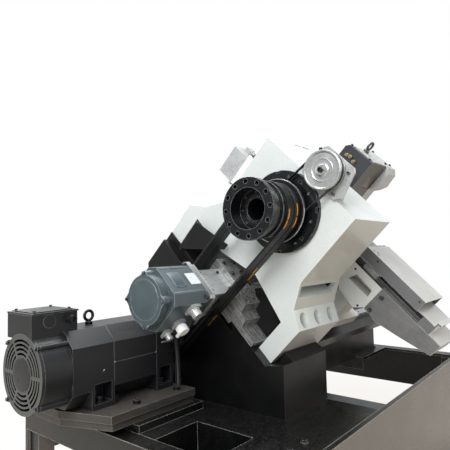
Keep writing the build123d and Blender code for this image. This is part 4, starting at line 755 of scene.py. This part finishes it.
class LATHE_OT_servo_trim(bpy.types.Operator):
    """Fit the feed motor's cap ring, label, raised panels, collars and plug pieces."""
    bl_idname = "lathe.servo_trim"
    bl_label = "Feed motor trim"

    def execute(self, context):
        sizes = context.scene.lathe_sizes
        tail = on_slope(SERVO_REAR_X, SERVO_S, SERVO_N, -X_DIR, S_DIR)
        ring = turned([(0, 0), (0, 67), (1.2, 67), (2.2, 66), (2.2, 63), (1.6, 62.2), (1.6, 0)], tail, 64)
        top = on_slope(-28, SERVO_S, SERVO_N + SERVO_HALF, N_DIR, X_DIR)
        side = on_slope(-70, SERVO_S - SERVO_HALF, SERVO_N, -S_DIR, X_DIR)
        outline = []
        for step in range(96):
            angle = math.tau * step / 96
            lug = min(abs((angle - math.pi / 4 - k * math.pi / 2 + math.pi) % math.tau - math.pi)
                      for k in range(4))
            reach = SERVO_CAP_RADIUS
            if lug <= SERVO_LUG_HALF:
                reach += SERVO_LUG_RISE * math.cos(lug / SERVO_LUG_HALF * math.pi / 2) ** 0.5
            outline.append((reach * math.cos(angle), reach * math.sin(angle)))
        cap = plate(outline, 33.8, on_slope(-151.2, SERVO_S, SERVO_N, -X_DIR, S_DIR), 3)
        rear_cap = piece_from("servo_round_cap", [cap], "bed", "blue_grey_paint", smooth=32)
        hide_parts("servo_rear_cap")
        panels = [
            ring,
            plate(rounded(52, 62, 4), 1.4, top @ Matrix.Translation((-0.072, 0, 0)), 0.6),
            plate(rounded(40, 50, 3), 2.2, top @ Matrix.Translation((-0.072, 0, 0)), 0.6),
            plate(rounded(96, 26, 4), 1.2, side, 0.5),
        ]
        for sign in (-1, 1):
            low_edge = top @ Matrix.Translation((-0.055, sign * 0.0525, 0))
            panels.append(plate(rounded(124, 5, 2), 1.2, low_edge, 0.4))
        piece_from("servo_panels", panels, "bed", "blue_grey_paint", smooth=32)
        label = plate(rounded(sizes.label_width, sizes.label_width * 1.05, 1.5), 0.5, top, 0.15)
        piece_from("servo_label", [label], "bed", "white_plastic", "blank_label_film")
        bolts = [slope_spot(-4, SERVO_S + a * 73, SERVO_N + b * 73) for a, b in CORNERS]
        fasteners("servo_flange_bolts", "cap_screw", 8.5, [(p, -X_DIR) for p in bolts], "bed")
        studs = [slope_spot(SERVO_REAR_X, SERVO_S + a * 60, SERVO_N + b * 60) for a, b in CORNERS]
        fasteners("servo_cap_screws", "cap_screw", 5, [(p, -X_DIR) for p in studs], "bed")
        collars = []
        for x, n, radius, height in ((-77, -417, 16.4, 6), (-58, -350, 19.4, 14), (-104, -458, 13.2, 12)):
            seat = on_slope(x, SERVO_S + SERVO_HALF, n, S_DIR, X_DIR)
            collars.append(turned([(0, 0), (0, radius + 4), (2.5, radius + 4), (3.2, radius + 3.2),
                                   (3.2, radius), (height, radius), (height + 1, radius - 1),
                                   (height + 1, 0)], seat, 32))
        piece_from("servo_plug_collars", collars, "bed", "aluminium", smooth=32)
        tip = on_slope(-39, SERVO_S + 104, -370, S_DIR, X_DIR)
        red = turned([(-4, 0), (-4, 5), (4, 5), (12, 2.4), (13, 0)], tip, 20)
        piece_from("servo_plug_tip", [red], "bed", "black_plastic", "moulded_red_plastic", smooth=32)
        lever = plate(rounded(44, 7, 3.2), 3, on_slope(-118, SERVO_S + 112, -462, S_DIR, -X_DIR), 0.8)
        piece_from("servo_plug_lever", [lever], "bed", "dark_steel")
        return {"FINISHED"}


# The way that the motor's cut-off edge faces
MOTOR_LEAN = Vector((0, -1, 1)).normalized()


class LATHE_OT_motor_trim(bpy.types.Operator):
    """Fit the spindle motor's seams, black plates as the painted shadows of its slots, the grille hub with
    the painted shadows of its holes, and box screws.
    """
    bl_idname = "lathe.motor_trim"
    bl_label = "Spindle motor trim"

    def execute(self, context):
        front = facing(spot(-108, MOTOR_SIDE_Y, MOTOR_Z), -Y_DIR, X_DIR)
        seam = [plate(rounded(178, 2.2, 0.8), 0.9, front @ Matrix.Translation((0, 0.004, 0)), 0.25)]
        for x in (-199, -17):
            side = facing(spot(x, MOTOR_SIDE_Y, MOTOR_Z), -Y_DIR, X_DIR)
            lean = facing(spot(x, MOTOR_SIDE_Y + 24, MOTOR_TOP_Z - 24), MOTOR_LEAN, X_DIR)
            seam += [plate(rounded(3, 138, 1), 1.0, side, 0.3), plate(rounded(3, 66, 1), 1.0, lean, 0.3)]
        lid = facing(spot(-108, MOTOR_Y - 52, MOTOR_TOP_Z), Z_DIR, X_DIR)
        seam.append(plate(rounded(160, 16, 3), 1.1, lid, 0.4))
        piece_from("motor_seams", seam, "bed", "charcoal_paint", smooth=32)
        # Black plates on the slope face: the painted shadows of the motor's slots
        slots = []
        slope_face = facing(spot(-108, MOTOR_SIDE_Y + 24, MOTOR_TOP_Z - 24), MOTOR_LEAN, X_DIR)
        for step in range(14):
            slots.append(plate(rounded(7, 22, 3), 0.8, slope_face @ Matrix.Translation(
                ((step - 6.5) * 11.4 * MM, 0.012, 0)), 0.2))
        piece_from("motor_slots", slots, "bed", "black_plastic")
        hub = facing(spot(MOTOR_REAR_X, MOTOR_Y, MOTOR_Z), -X_DIR, -Y_DIR)
        cover = turned([(-0.2, 0), (-0.2, 50), (1.4, 50), (2.2, 49), (2.6, 44), (2.6, 0)], hub, 64)
        piece_from("fan_hub_cover", [cover], "bed", "charcoal_paint", smooth=32)
        # Dark discs on the hub: the painted shadows of its holes
        holes = [spot(-452.4, MOTOR_Y + y, MOTOR_Z + z) for y, z in circle(24, (45, 135, 225, 315))]
        fasteners("fan_hub_holes", "drilled", 5, [(p, -X_DIR) for p in holes], "bed", "black_plastic")
        ties = [spot(MOTOR_REAR_X, MOTOR_Y + a * 86, MOTOR_Z + b * 86) for a, b in CORNERS]
        fasteners("shroud_screws", "cap_screw", 6, [(p, -X_DIR) for p in ties], "bed")
        lid = [spot(x, y, -298) for x in (-432, -316) for y in (480, 592)]
        fasteners("box_lid_screws", "cap_screw", 4.5, [(p, Z_DIR) for p in lid], "bed")
        dots = [spot(-196, MOTOR_Y - 115, MOTOR_Z + 4), spot(-20, MOTOR_Y - 115, MOTOR_Z + 4),
                spot(-238, MOTOR_SIDE_Y, MOTOR_Z - 14)]
        fasteners("motor_seam_pins", "button", 3.6, [(p, -Y_DIR) for p in dots], "bed", "bright_steel")
        return {"FINISHED"}


# The two rails' places down the slant, the slide cover's rear and front sides, and the deck's top
RAIL_S = 230, -270
COVER_REAR_X, COVER_FRONT_X = 626, 851
DECK_TOP_Z = -689


class LATHE_OT_carriage_trim(bpy.types.Operator):
    """Fit the painted shadows of the slide cover's slots, the end bar's slots and the bracket's holes, a
    painted shadow in the trough, blank plates, screws and wipers of the carriage.
    """
    bl_idname = "lathe.carriage_trim"
    bl_label = "Carriage trim"

    def execute(self, context):
        # Black plates on the cover's top: the painted shadows of its slots
        slots = [plate(rounded(5, 12, 2.4), 0.5, on_slope(x, s, -4, N_DIR, X_DIR), 0)
                 for x, s in ((648, 196), (666, 208), (648, 220))]
        piece_from("slide_cover_slots", slots, "slide", "black_plastic")
        sides = [(slope_spot(COVER_REAR_X, 241, -18), -X_DIR), (slope_spot(COVER_REAR_X, 452, -17), -X_DIR),
                 (slope_spot(COVER_FRONT_X, 241, -18), X_DIR), (slope_spot(COVER_FRONT_X, 452, -17), X_DIR)]
        fasteners("slide_cover_screws", "button", 4, sides, "slide")
        arm = []
        for x, out in ((626, -X_DIR), (850, X_DIR)):
            arm += [(slope_spot(x, 347, -110), out), (slope_spot(x, 345, -179), out)]
        fasteners("arm_plate_screws", "cap_screw", 8.5, arm, "saddle")
        # Black plates on the end bar: the painted shadows of its slots
        bar_slots = [plate(rounded(34, 7, 3.2), 0.6, on_slope(x, 561, -31, S_DIR, X_DIR), 0)
                     for x in (672, 805)]
        piece_from("end_bar_slots", bar_slots, "saddle", "black_plastic")
        # A black plate as the painted shadow in the gap between the arm plates, beneath the slide cover
        gap = plate(rounded(146, 166, 1), 0.8, on_slope(745, 413, -84, N_DIR, X_DIR), 0)
        piece_from("trough_dark_strip", [gap], "saddle", "black_plastic")
        blank = plate(rounded(60, 46, 2), 1.0, on_slope(737.5, -40, 163, S_DIR, X_DIR), 0.3)
        piece_from("turret_drive_plate", [blank], "slide", "dark_steel", "blank_anodised_plate")
        rivets = [(slope_spot(737.5 + a * 26, -39, 163 + b * 19), S_DIR) for a, b in CORNERS]
        fasteners("turret_plate_rivets", "button", 2.2, rivets, "slide", "bright_steel")
        # Dark discs on the bracket: the painted shadows of its holes
        bracket = [(slope_spot(COVER_REAR_X, s, n), -X_DIR) for s, n in ((196, -104), (300, -206))]
        fasteners("bracket_holes", "drilled", 5, bracket, "saddle", "black_plastic")
        top = [(slope_spot(x, s, 252 if x < 779 else 257), N_DIR) for x, s in (
            (640, -60), (640, -160), (800, -60), (848, -60), (800, -160), (848, -160))]
        fasteners("turret_drive_screws", "cap_screw", 5.5, top, "slide")
        wipers = [wiper(x, s) for s in RAIL_S for x in (647.8, 787.8, 715.2, 855.2)]
        piece_from("rail_wipers", wipers, "saddle", "black_plastic")
        return {"FINISHED"}


def wiper(x, s):
    """A plastic end seal on a rail block, cut out over the rail."""
    half, slot, low, roof, top = 23.4, 12.8, -415.6, -391.2, -372.5
    outline = [(-half, low), (-slot, low), (-slot, roof), (slot, roof), (slot, low), (half, low),
               (half, top - 3), (half - 3, top), (-half + 3, top), (-half, top - 3)]
    place = Matrix((S_DIR, N_DIR, -X_DIR)).transposed().to_4x4()
    place.translation = slope_spot(x + 3, s, 0)
    return plate(outline, 3, place, 0)


class LATHE_OT_linings(bpy.types.Operator):
    """Put black plates in the headstock's window as its painted shadow, and lay the bare strip on the deck's
    ledge.
    """
    bl_idname = "lathe.linings"
    bl_label = "Window lining and deck ledge"

    def execute(self, context):
        # Black plates on the window's floor, roof and right side: a painted shadow inside the window
        floor_plate = plate(rounded(250, 36, 2), 1, on_slope(348, 165, -162, S_DIR, X_DIR), 0)
        roof_plate = plate(rounded(250, 40, 1), 0.8, on_slope(348, 186, -143, -N_DIR, X_DIR), 0)
        right_plate = plate(rounded(40, 36, 1), 0.8, on_slope(474, 186, -162, -X_DIR, S_DIR), 0)
        piece_from("window_lining", [floor_plate, roof_plate, right_plate], "bed", "black_paint")
        ledge = plate(rounded(104, 1090, 1), 0.6, facing(spot(508, 337, -703), Z_DIR, X_DIR), 0.2)
        piece_from("deck_ledge_strip", [ledge], "bed", "dark_steel", "grey_primed_ledge")
        return {"FINISHED"}


class LATHE_OT_machine_fasteners(bpy.types.Operator):
    """Put screws, rail plugs and lock nuts along the bed, headstock and base."""
    bl_idname = "lathe.machine_fasteners"
    bl_label = "Machine fasteners"

    def execute(self, context):
        plugs = [(slope_spot(522 + (k + 0.5) * 80, s, -392.6), N_DIR) for k in range(10) for s in RAIL_S]
        fasteners("rail_plugs", "button", 5.4, plugs, "bed", "black_plastic")
        ring = [(spot(192, y, z), -X_DIR) for y, z in circle(121, (20, 64, 108, 156, 200, 244, 288, 336))]
        fasteners("cover_ring_screws", "cap_screw", 5.5, ring, "bed")
        front = [(spot(511, y, z), X_DIR) for y, z in circle(98, [22.5 + 45 * k for k in range(8)])]
        fasteners("front_cover_screws", "cap_screw", 6.5, front, "bed")
        spacer = nodes["spacer_ring"]
        collar = [spacer.matrix_world @ Vector(corner) for corner in spacer.bound_box]
        reach = (max(c.y for c in collar) - min(c.y for c in collar)) / 2 / MM
        end_x = (max(c.x for c in collar) - SPINDLE.x) / MM
        band = turned([(end_x - 9, reach - 2), (end_x - 9, reach + 0.2), (end_x - 8, reach + 0.8),
                       (end_x - 1, reach + 0.8), (end_x - 0.5, reach - 2), (end_x - 9, reach - 2)],
                      facing(SPINDLE, X_DIR, Y_DIR), 96)
        piece_from("spacer_bright_band", [band], "bed", "bright_steel", smooth=32)
        encoder = [(slope_spot(196, s, n), -X_DIR)
                   for s, n in ((-24, 246), (104, 246), (-28, 166), (108, 166))]
        fasteners("encoder_plate_screws", "cap_screw", 5.5, encoder, "bed")
        blocks = [(slope_spot(x, s, -306), N_DIR) for x in (192, 242) for s in (-60, -6, 48)]
        fasteners("screw_block_bolts", "cap_screw", 8, blocks, "bed")
        bridge = [(slope_spot(x, SERVO_S + a * 40, SERVO_N + 58), N_DIR) for x in (54, 150) for a in (-1, 1)]
        fasteners("servo_bracket_bolts", "cap_screw", 6, bridge, "bed")
        deck = [(x, -140) for x in (-160, -90, -20, 60)] + [(x, 815) for x in (-120, 40, 200, 360)]
        deck += [(x, y) for x in (1180, 1420) for y in (200, 500, 800)]
        fasteners("deck_bolts", "hex_bolt", 12, [(spot(x, y, DECK_TOP_Z), Z_DIR) for x, y in deck], "bed")
        nuts = [plate(circle(20, range(0, 360, 60)), 11, Matrix.Translation(spot(x, y, -1161.5)), 1.2)
                for x in (-202, 136.5, 1468) for y in (-182, 856)]
        piece_from("levelling_nuts", nuts, "bed", "bright_steel")
        brown = plate(rounded(51, 70, 2), 5, on_slope(205, 222.5, -463, -X_DIR, S_DIR), 0.6)
        piece_from("bed_end_plate", [brown], "bed", "black_paint", "red_oxide_primer")
        return {"FINISHED"}


# Feed motor's conduit: the route that the part's source gives
CONDUIT_ROUTE = ((-8, 361, -305), (-8, 391, -335), (74, 391, -405), (74, 391, -616))
CONDUIT_DIAMETER = 22


class LATHE_OT_conduit(bpy.types.Operator):
    """Hang the ribbed conduit from the feed motor to the motor plate."""
    bl_idname = "lathe.conduit"
    bl_label = "Ribbed conduit"

    def execute(self, context):
        curve = bpy.data.curves.new("conduit_line", "CURVE")
        curve.dimensions = "3D"
        curve.resolution_u = 40
        line = curve.splines.new("NURBS")
        line.points.add(len(CONDUIT_ROUTE) - 1)
        for point, corner in zip(line.points, CONDUIT_ROUTE):
            point.co = (*spot(*corner), 1)
        line.order_u = 3
        line.use_endpoint_u = True
        guide = bpy.data.objects.new("conduit_line", curve)
        bpy.context.scene.collection.objects.link(guide)
        bpy.context.view_layer.update()
        wire = bpy.data.meshes.new_from_object(guide.evaluated_get(bpy.context.evaluated_depsgraph_get()))
        path = [v.co.copy() for v in wire.vertices]
        bpy.data.objects.remove(guide)
        steps = [0]
        for a, b in zip(path, path[1:]):
            steps.append(steps[-1] + (b - a).length)
        length, rib = steps[-1], 4.2 * MM
        count = int(length / rib * 6)
        rings = []
        side = None
        for index in range(count + 1):
            reach = length * index / count
            at = max(k for k in range(len(steps) - 1) if steps[k] <= reach + 1e-9)
            share = (reach - steps[at]) / (steps[at + 1] - steps[at])
            centre = path[at].lerp(path[at + 1], share)
            way = (path[at + 1] - path[at]).normalized()
            side = (side - way * side.dot(way)).normalized() if side else way.orthogonal().normalized()
            other = way.cross(side)
            radius = CONDUIT_DIAMETER / 2 * MM - 0.9 * MM * (0.5 + 0.5 * math.cos(math.tau * reach / rib))
            rings.append([centre + (side * math.cos(math.tau * k / 20) + other * math.sin(math.tau * k / 20))
                          * radius for k in range(20)])
        conduit = piece_from("ribbed_conduit", [shell_of(rings)], "bed", "black_plastic", smooth=60)
        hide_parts("servo_conduit")
        return {"FINISHED"}


# The photograph's viewpoint: heading, upward tilt and roll of the camera in radians, its place in machine mm,
# and the lens that gives 459.22 pixels of focal length on a frame 450 pixels wide
CAMERA_HEADING, CAMERA_TILT, CAMERA_ROLL = 0.69325608, 0.059924, -0.0249774
CAMERA_SPOT = (-1127.8, -847.5, -133.9)
SENSOR_WIDTH = 36
FOCAL_PIXELS, FRAME_PIXELS = 459.22, 450

# Studio: the dome's level, the metres where the floor fades to white, and how much of it shows in reflections
DOME_LEVEL = 0.72
FLOOR_FADE = 1.1, 2.8
FLOOR_SHINE = 0.35


class LATHE_OT_stage(bpy.types.Operator):
    """Set the pale floor, the soft studio light and the camera."""
    bl_idname = "lathe.stage"
    bl_label = "Studio"

    def execute(self, context):
        sizes = context.scene.lathe_sizes
        scene = context.scene
        scene.view_settings.view_transform = "Standard"
        ahead = Vector((math.cos(CAMERA_HEADING) * math.cos(CAMERA_TILT),
                        math.sin(CAMERA_HEADING) * math.cos(CAMERA_TILT), math.sin(CAMERA_TILT)))
        level = Vector((math.sin(CAMERA_HEADING), -math.cos(CAMERA_HEADING), 0))
        over = level.cross(ahead)
        right = level * math.cos(CAMERA_ROLL) + over * math.sin(CAMERA_ROLL)
        up = over * math.cos(CAMERA_ROLL) - level * math.sin(CAMERA_ROLL)
        eye = bpy.data.cameras.new("camera")
        eye.sensor_width = SENSOR_WIDTH
        eye.lens = SENSOR_WIDTH * FOCAL_PIXELS / FRAME_PIXELS
        camera = bpy.data.objects.new("camera", eye)
        place = Matrix((right, up, -ahead)).transposed().to_4x4()
        place.translation = spot(*CAMERA_SPOT)
        camera.matrix_world = place
        scene.collection.objects.link(camera)
        scene.camera = camera

        world = bpy.data.worlds.new("studio")
        scene.world = world
        world.use_nodes = True
        tree = world.node_tree
        tree.nodes.clear()
        rays = add(tree, "ShaderNodeLightPath").outputs
        seen = maths(tree, "MAXIMUM", rays["Is Camera Ray"], rays["Is Transmission Ray"])
        aim = add(tree, "ShaderNodeSeparateXYZ", {0: add(tree, "ShaderNodeTexCoord").outputs["Generated"]})
        sky = ramp(tree, aim.outputs[2], -0.05, 0.75, 0.30, 0.95)
        white = maths(tree, "MAXIMUM", seen, maths(tree, "MULTIPLY", rays["Is Glossy Ray"], sky))
        level_light = maths(tree, "MULTIPLY", sky, DOME_LEVEL * sizes.light_level)
        dome = add(tree, "ShaderNodeBackground", {"Color": linear("#e9eef2"), "Strength": level_light})
        backdrop = add(tree, "ShaderNodeBackground", {"Color": (1, 1, 1, 1), "Strength": 1.0})
        mix = add(tree, "ShaderNodeMixShader", {0: white, 1: dome.outputs[0], 2: backdrop.outputs[0]})
        add(tree, "ShaderNodeOutputWorld", {0: mix.outputs[0]})

        for name, point, aim, width, power, shade in (
                ("key_lamp", (-3.6, -1.2, 3.0), (0, 0, 0.9), 1.8, 132, "#ffffff"),
                ("top_lamp", (0.2, 0.8, 3.9), (0, 0, 0.8), 2.2, 150, "#ffffff"),
                ("right_lamp", (2.6, -2.8, 1.6), (0.2, 0, 0.9), 1.6, 22, "#fff1de"),
                ("back_lamp", (-0.4, 3.4, 2.4), (0, 0, 0.9), 2.0, 50, "#ffffff")):
            lamp = bpy.data.lights.new(name, "AREA")
            lamp.shape = "SQUARE"
            lamp.size = width
            lamp.energy = power * sizes.light_level
            lamp.color = linear(shade)[:3]
            lit = bpy.data.objects.new(name, lamp)
            way = (Vector(aim) - Vector(point)).to_track_quat("-Z", "Y")
            lit.matrix_world = Matrix.Translation(point) @ way.to_matrix().to_4x4()
            scene.collection.objects.link(lit)

        ground = bpy.data.meshes.new("floor")
        reach = sizes.floor_reach
        ground.from_pydata([(-reach, -reach, 0), (reach, -reach, 0), (reach, reach, 0), (-reach, reach, 0)],
                           [],
                           [(0, 1, 2, 3)])
        floor = bpy.data.objects.new("floor", ground)
        scene.collection.objects.link(floor)
        ground.materials.append(floor_finish())
        return {"FINISHED"}


def floor_finish():
    """Pale studio floor: keeps the shadow near the machine and fades into the white backdrop."""
    material = bpy.data.materials.new("pale_studio_floor")
    material.use_nodes = True
    tree = material.node_tree
    tree.nodes.clear()
    place = add(tree, "ShaderNodeTexCoord").outputs["Object"]
    reach = add(tree, "ShaderNodeVectorMath", {0: place}, operation="LENGTH").outputs["Value"]
    far = ramp(tree, reach, *FLOOR_FADE, 0.5, 1.0)
    rays = add(tree, "ShaderNodeLightPath").outputs
    seen = maths(tree, "MAXIMUM", rays["Is Camera Ray"], rays["Is Transmission Ray"])
    shown = maths(tree, "MAXIMUM", seen, maths(tree, "MULTIPLY", rays["Is Glossy Ray"], FLOOR_SHINE))
    white = maths(tree, "MULTIPLY", far, shown)
    matt = add(tree, "ShaderNodeBsdfPrincipled", {"Base Color": linear("#cdc5b8"), "Roughness": 0.6})
    glow = add(tree, "ShaderNodeEmission", {"Color": (1, 1, 1, 1), "Strength": 1.0})
    mix = add(tree, "ShaderNodeMixShader", {0: white, 1: matt.outputs[0], 2: glow.outputs[0]})
    add(tree, "ShaderNodeOutputMaterial", {0: mix.outputs[0]})
    return material


OPERATORS = (LATHE_OT_stage, LATHE_OT_conduit, LATHE_OT_finishes, LATHE_OT_belt_marks, LATHE_OT_threads,
             LATHE_OT_encoder_face, LATHE_OT_servo_trim, LATHE_OT_motor_trim, LATHE_OT_carriage_trim,
             LATHE_OT_linings, LATHE_OT_machine_fasteners)


class LATHE_PT_sidebar(bpy.types.Panel):
    """Lists the lathe's sizes, colours and the operators that make its pieces."""
    bl_idname = "LATHE_PT_sidebar"
    bl_label = "Lathe"
    bl_space_type = "VIEW_3D"
    bl_region_type = "UI"
    bl_category = "Lathe"

    def draw(self, context):
        for name in LatheSizes.__annotations__:
            self.layout.prop(context.scene.lathe_sizes, name)
        for kind in OPERATORS:
            self.layout.operator(kind.bl_idname)


def register():
    """Registers the sizes, the operators and the panel."""
    for kind in (LatheSizes, *OPERATORS, LATHE_PT_sidebar):
        bpy.utils.register_class(kind)
    bpy.types.Scene.lathe_sizes = bpy.props.PointerProperty(type=LatheSizes)


def unregister():
    """Removes what register added."""
    del bpy.types.Scene.lathe_sizes
    for kind in (LATHE_PT_sidebar, *reversed(OPERATORS), LatheSizes):
        bpy.utils.unregister_class(kind)


def main():
    """Makes every piece in order."""
    register()
    for kind in OPERATORS:
        group, name = kind.bl_idname.split(".")
        getattr(getattr(bpy.ops, group), name)()


if __name__ == "__main__":
    main()
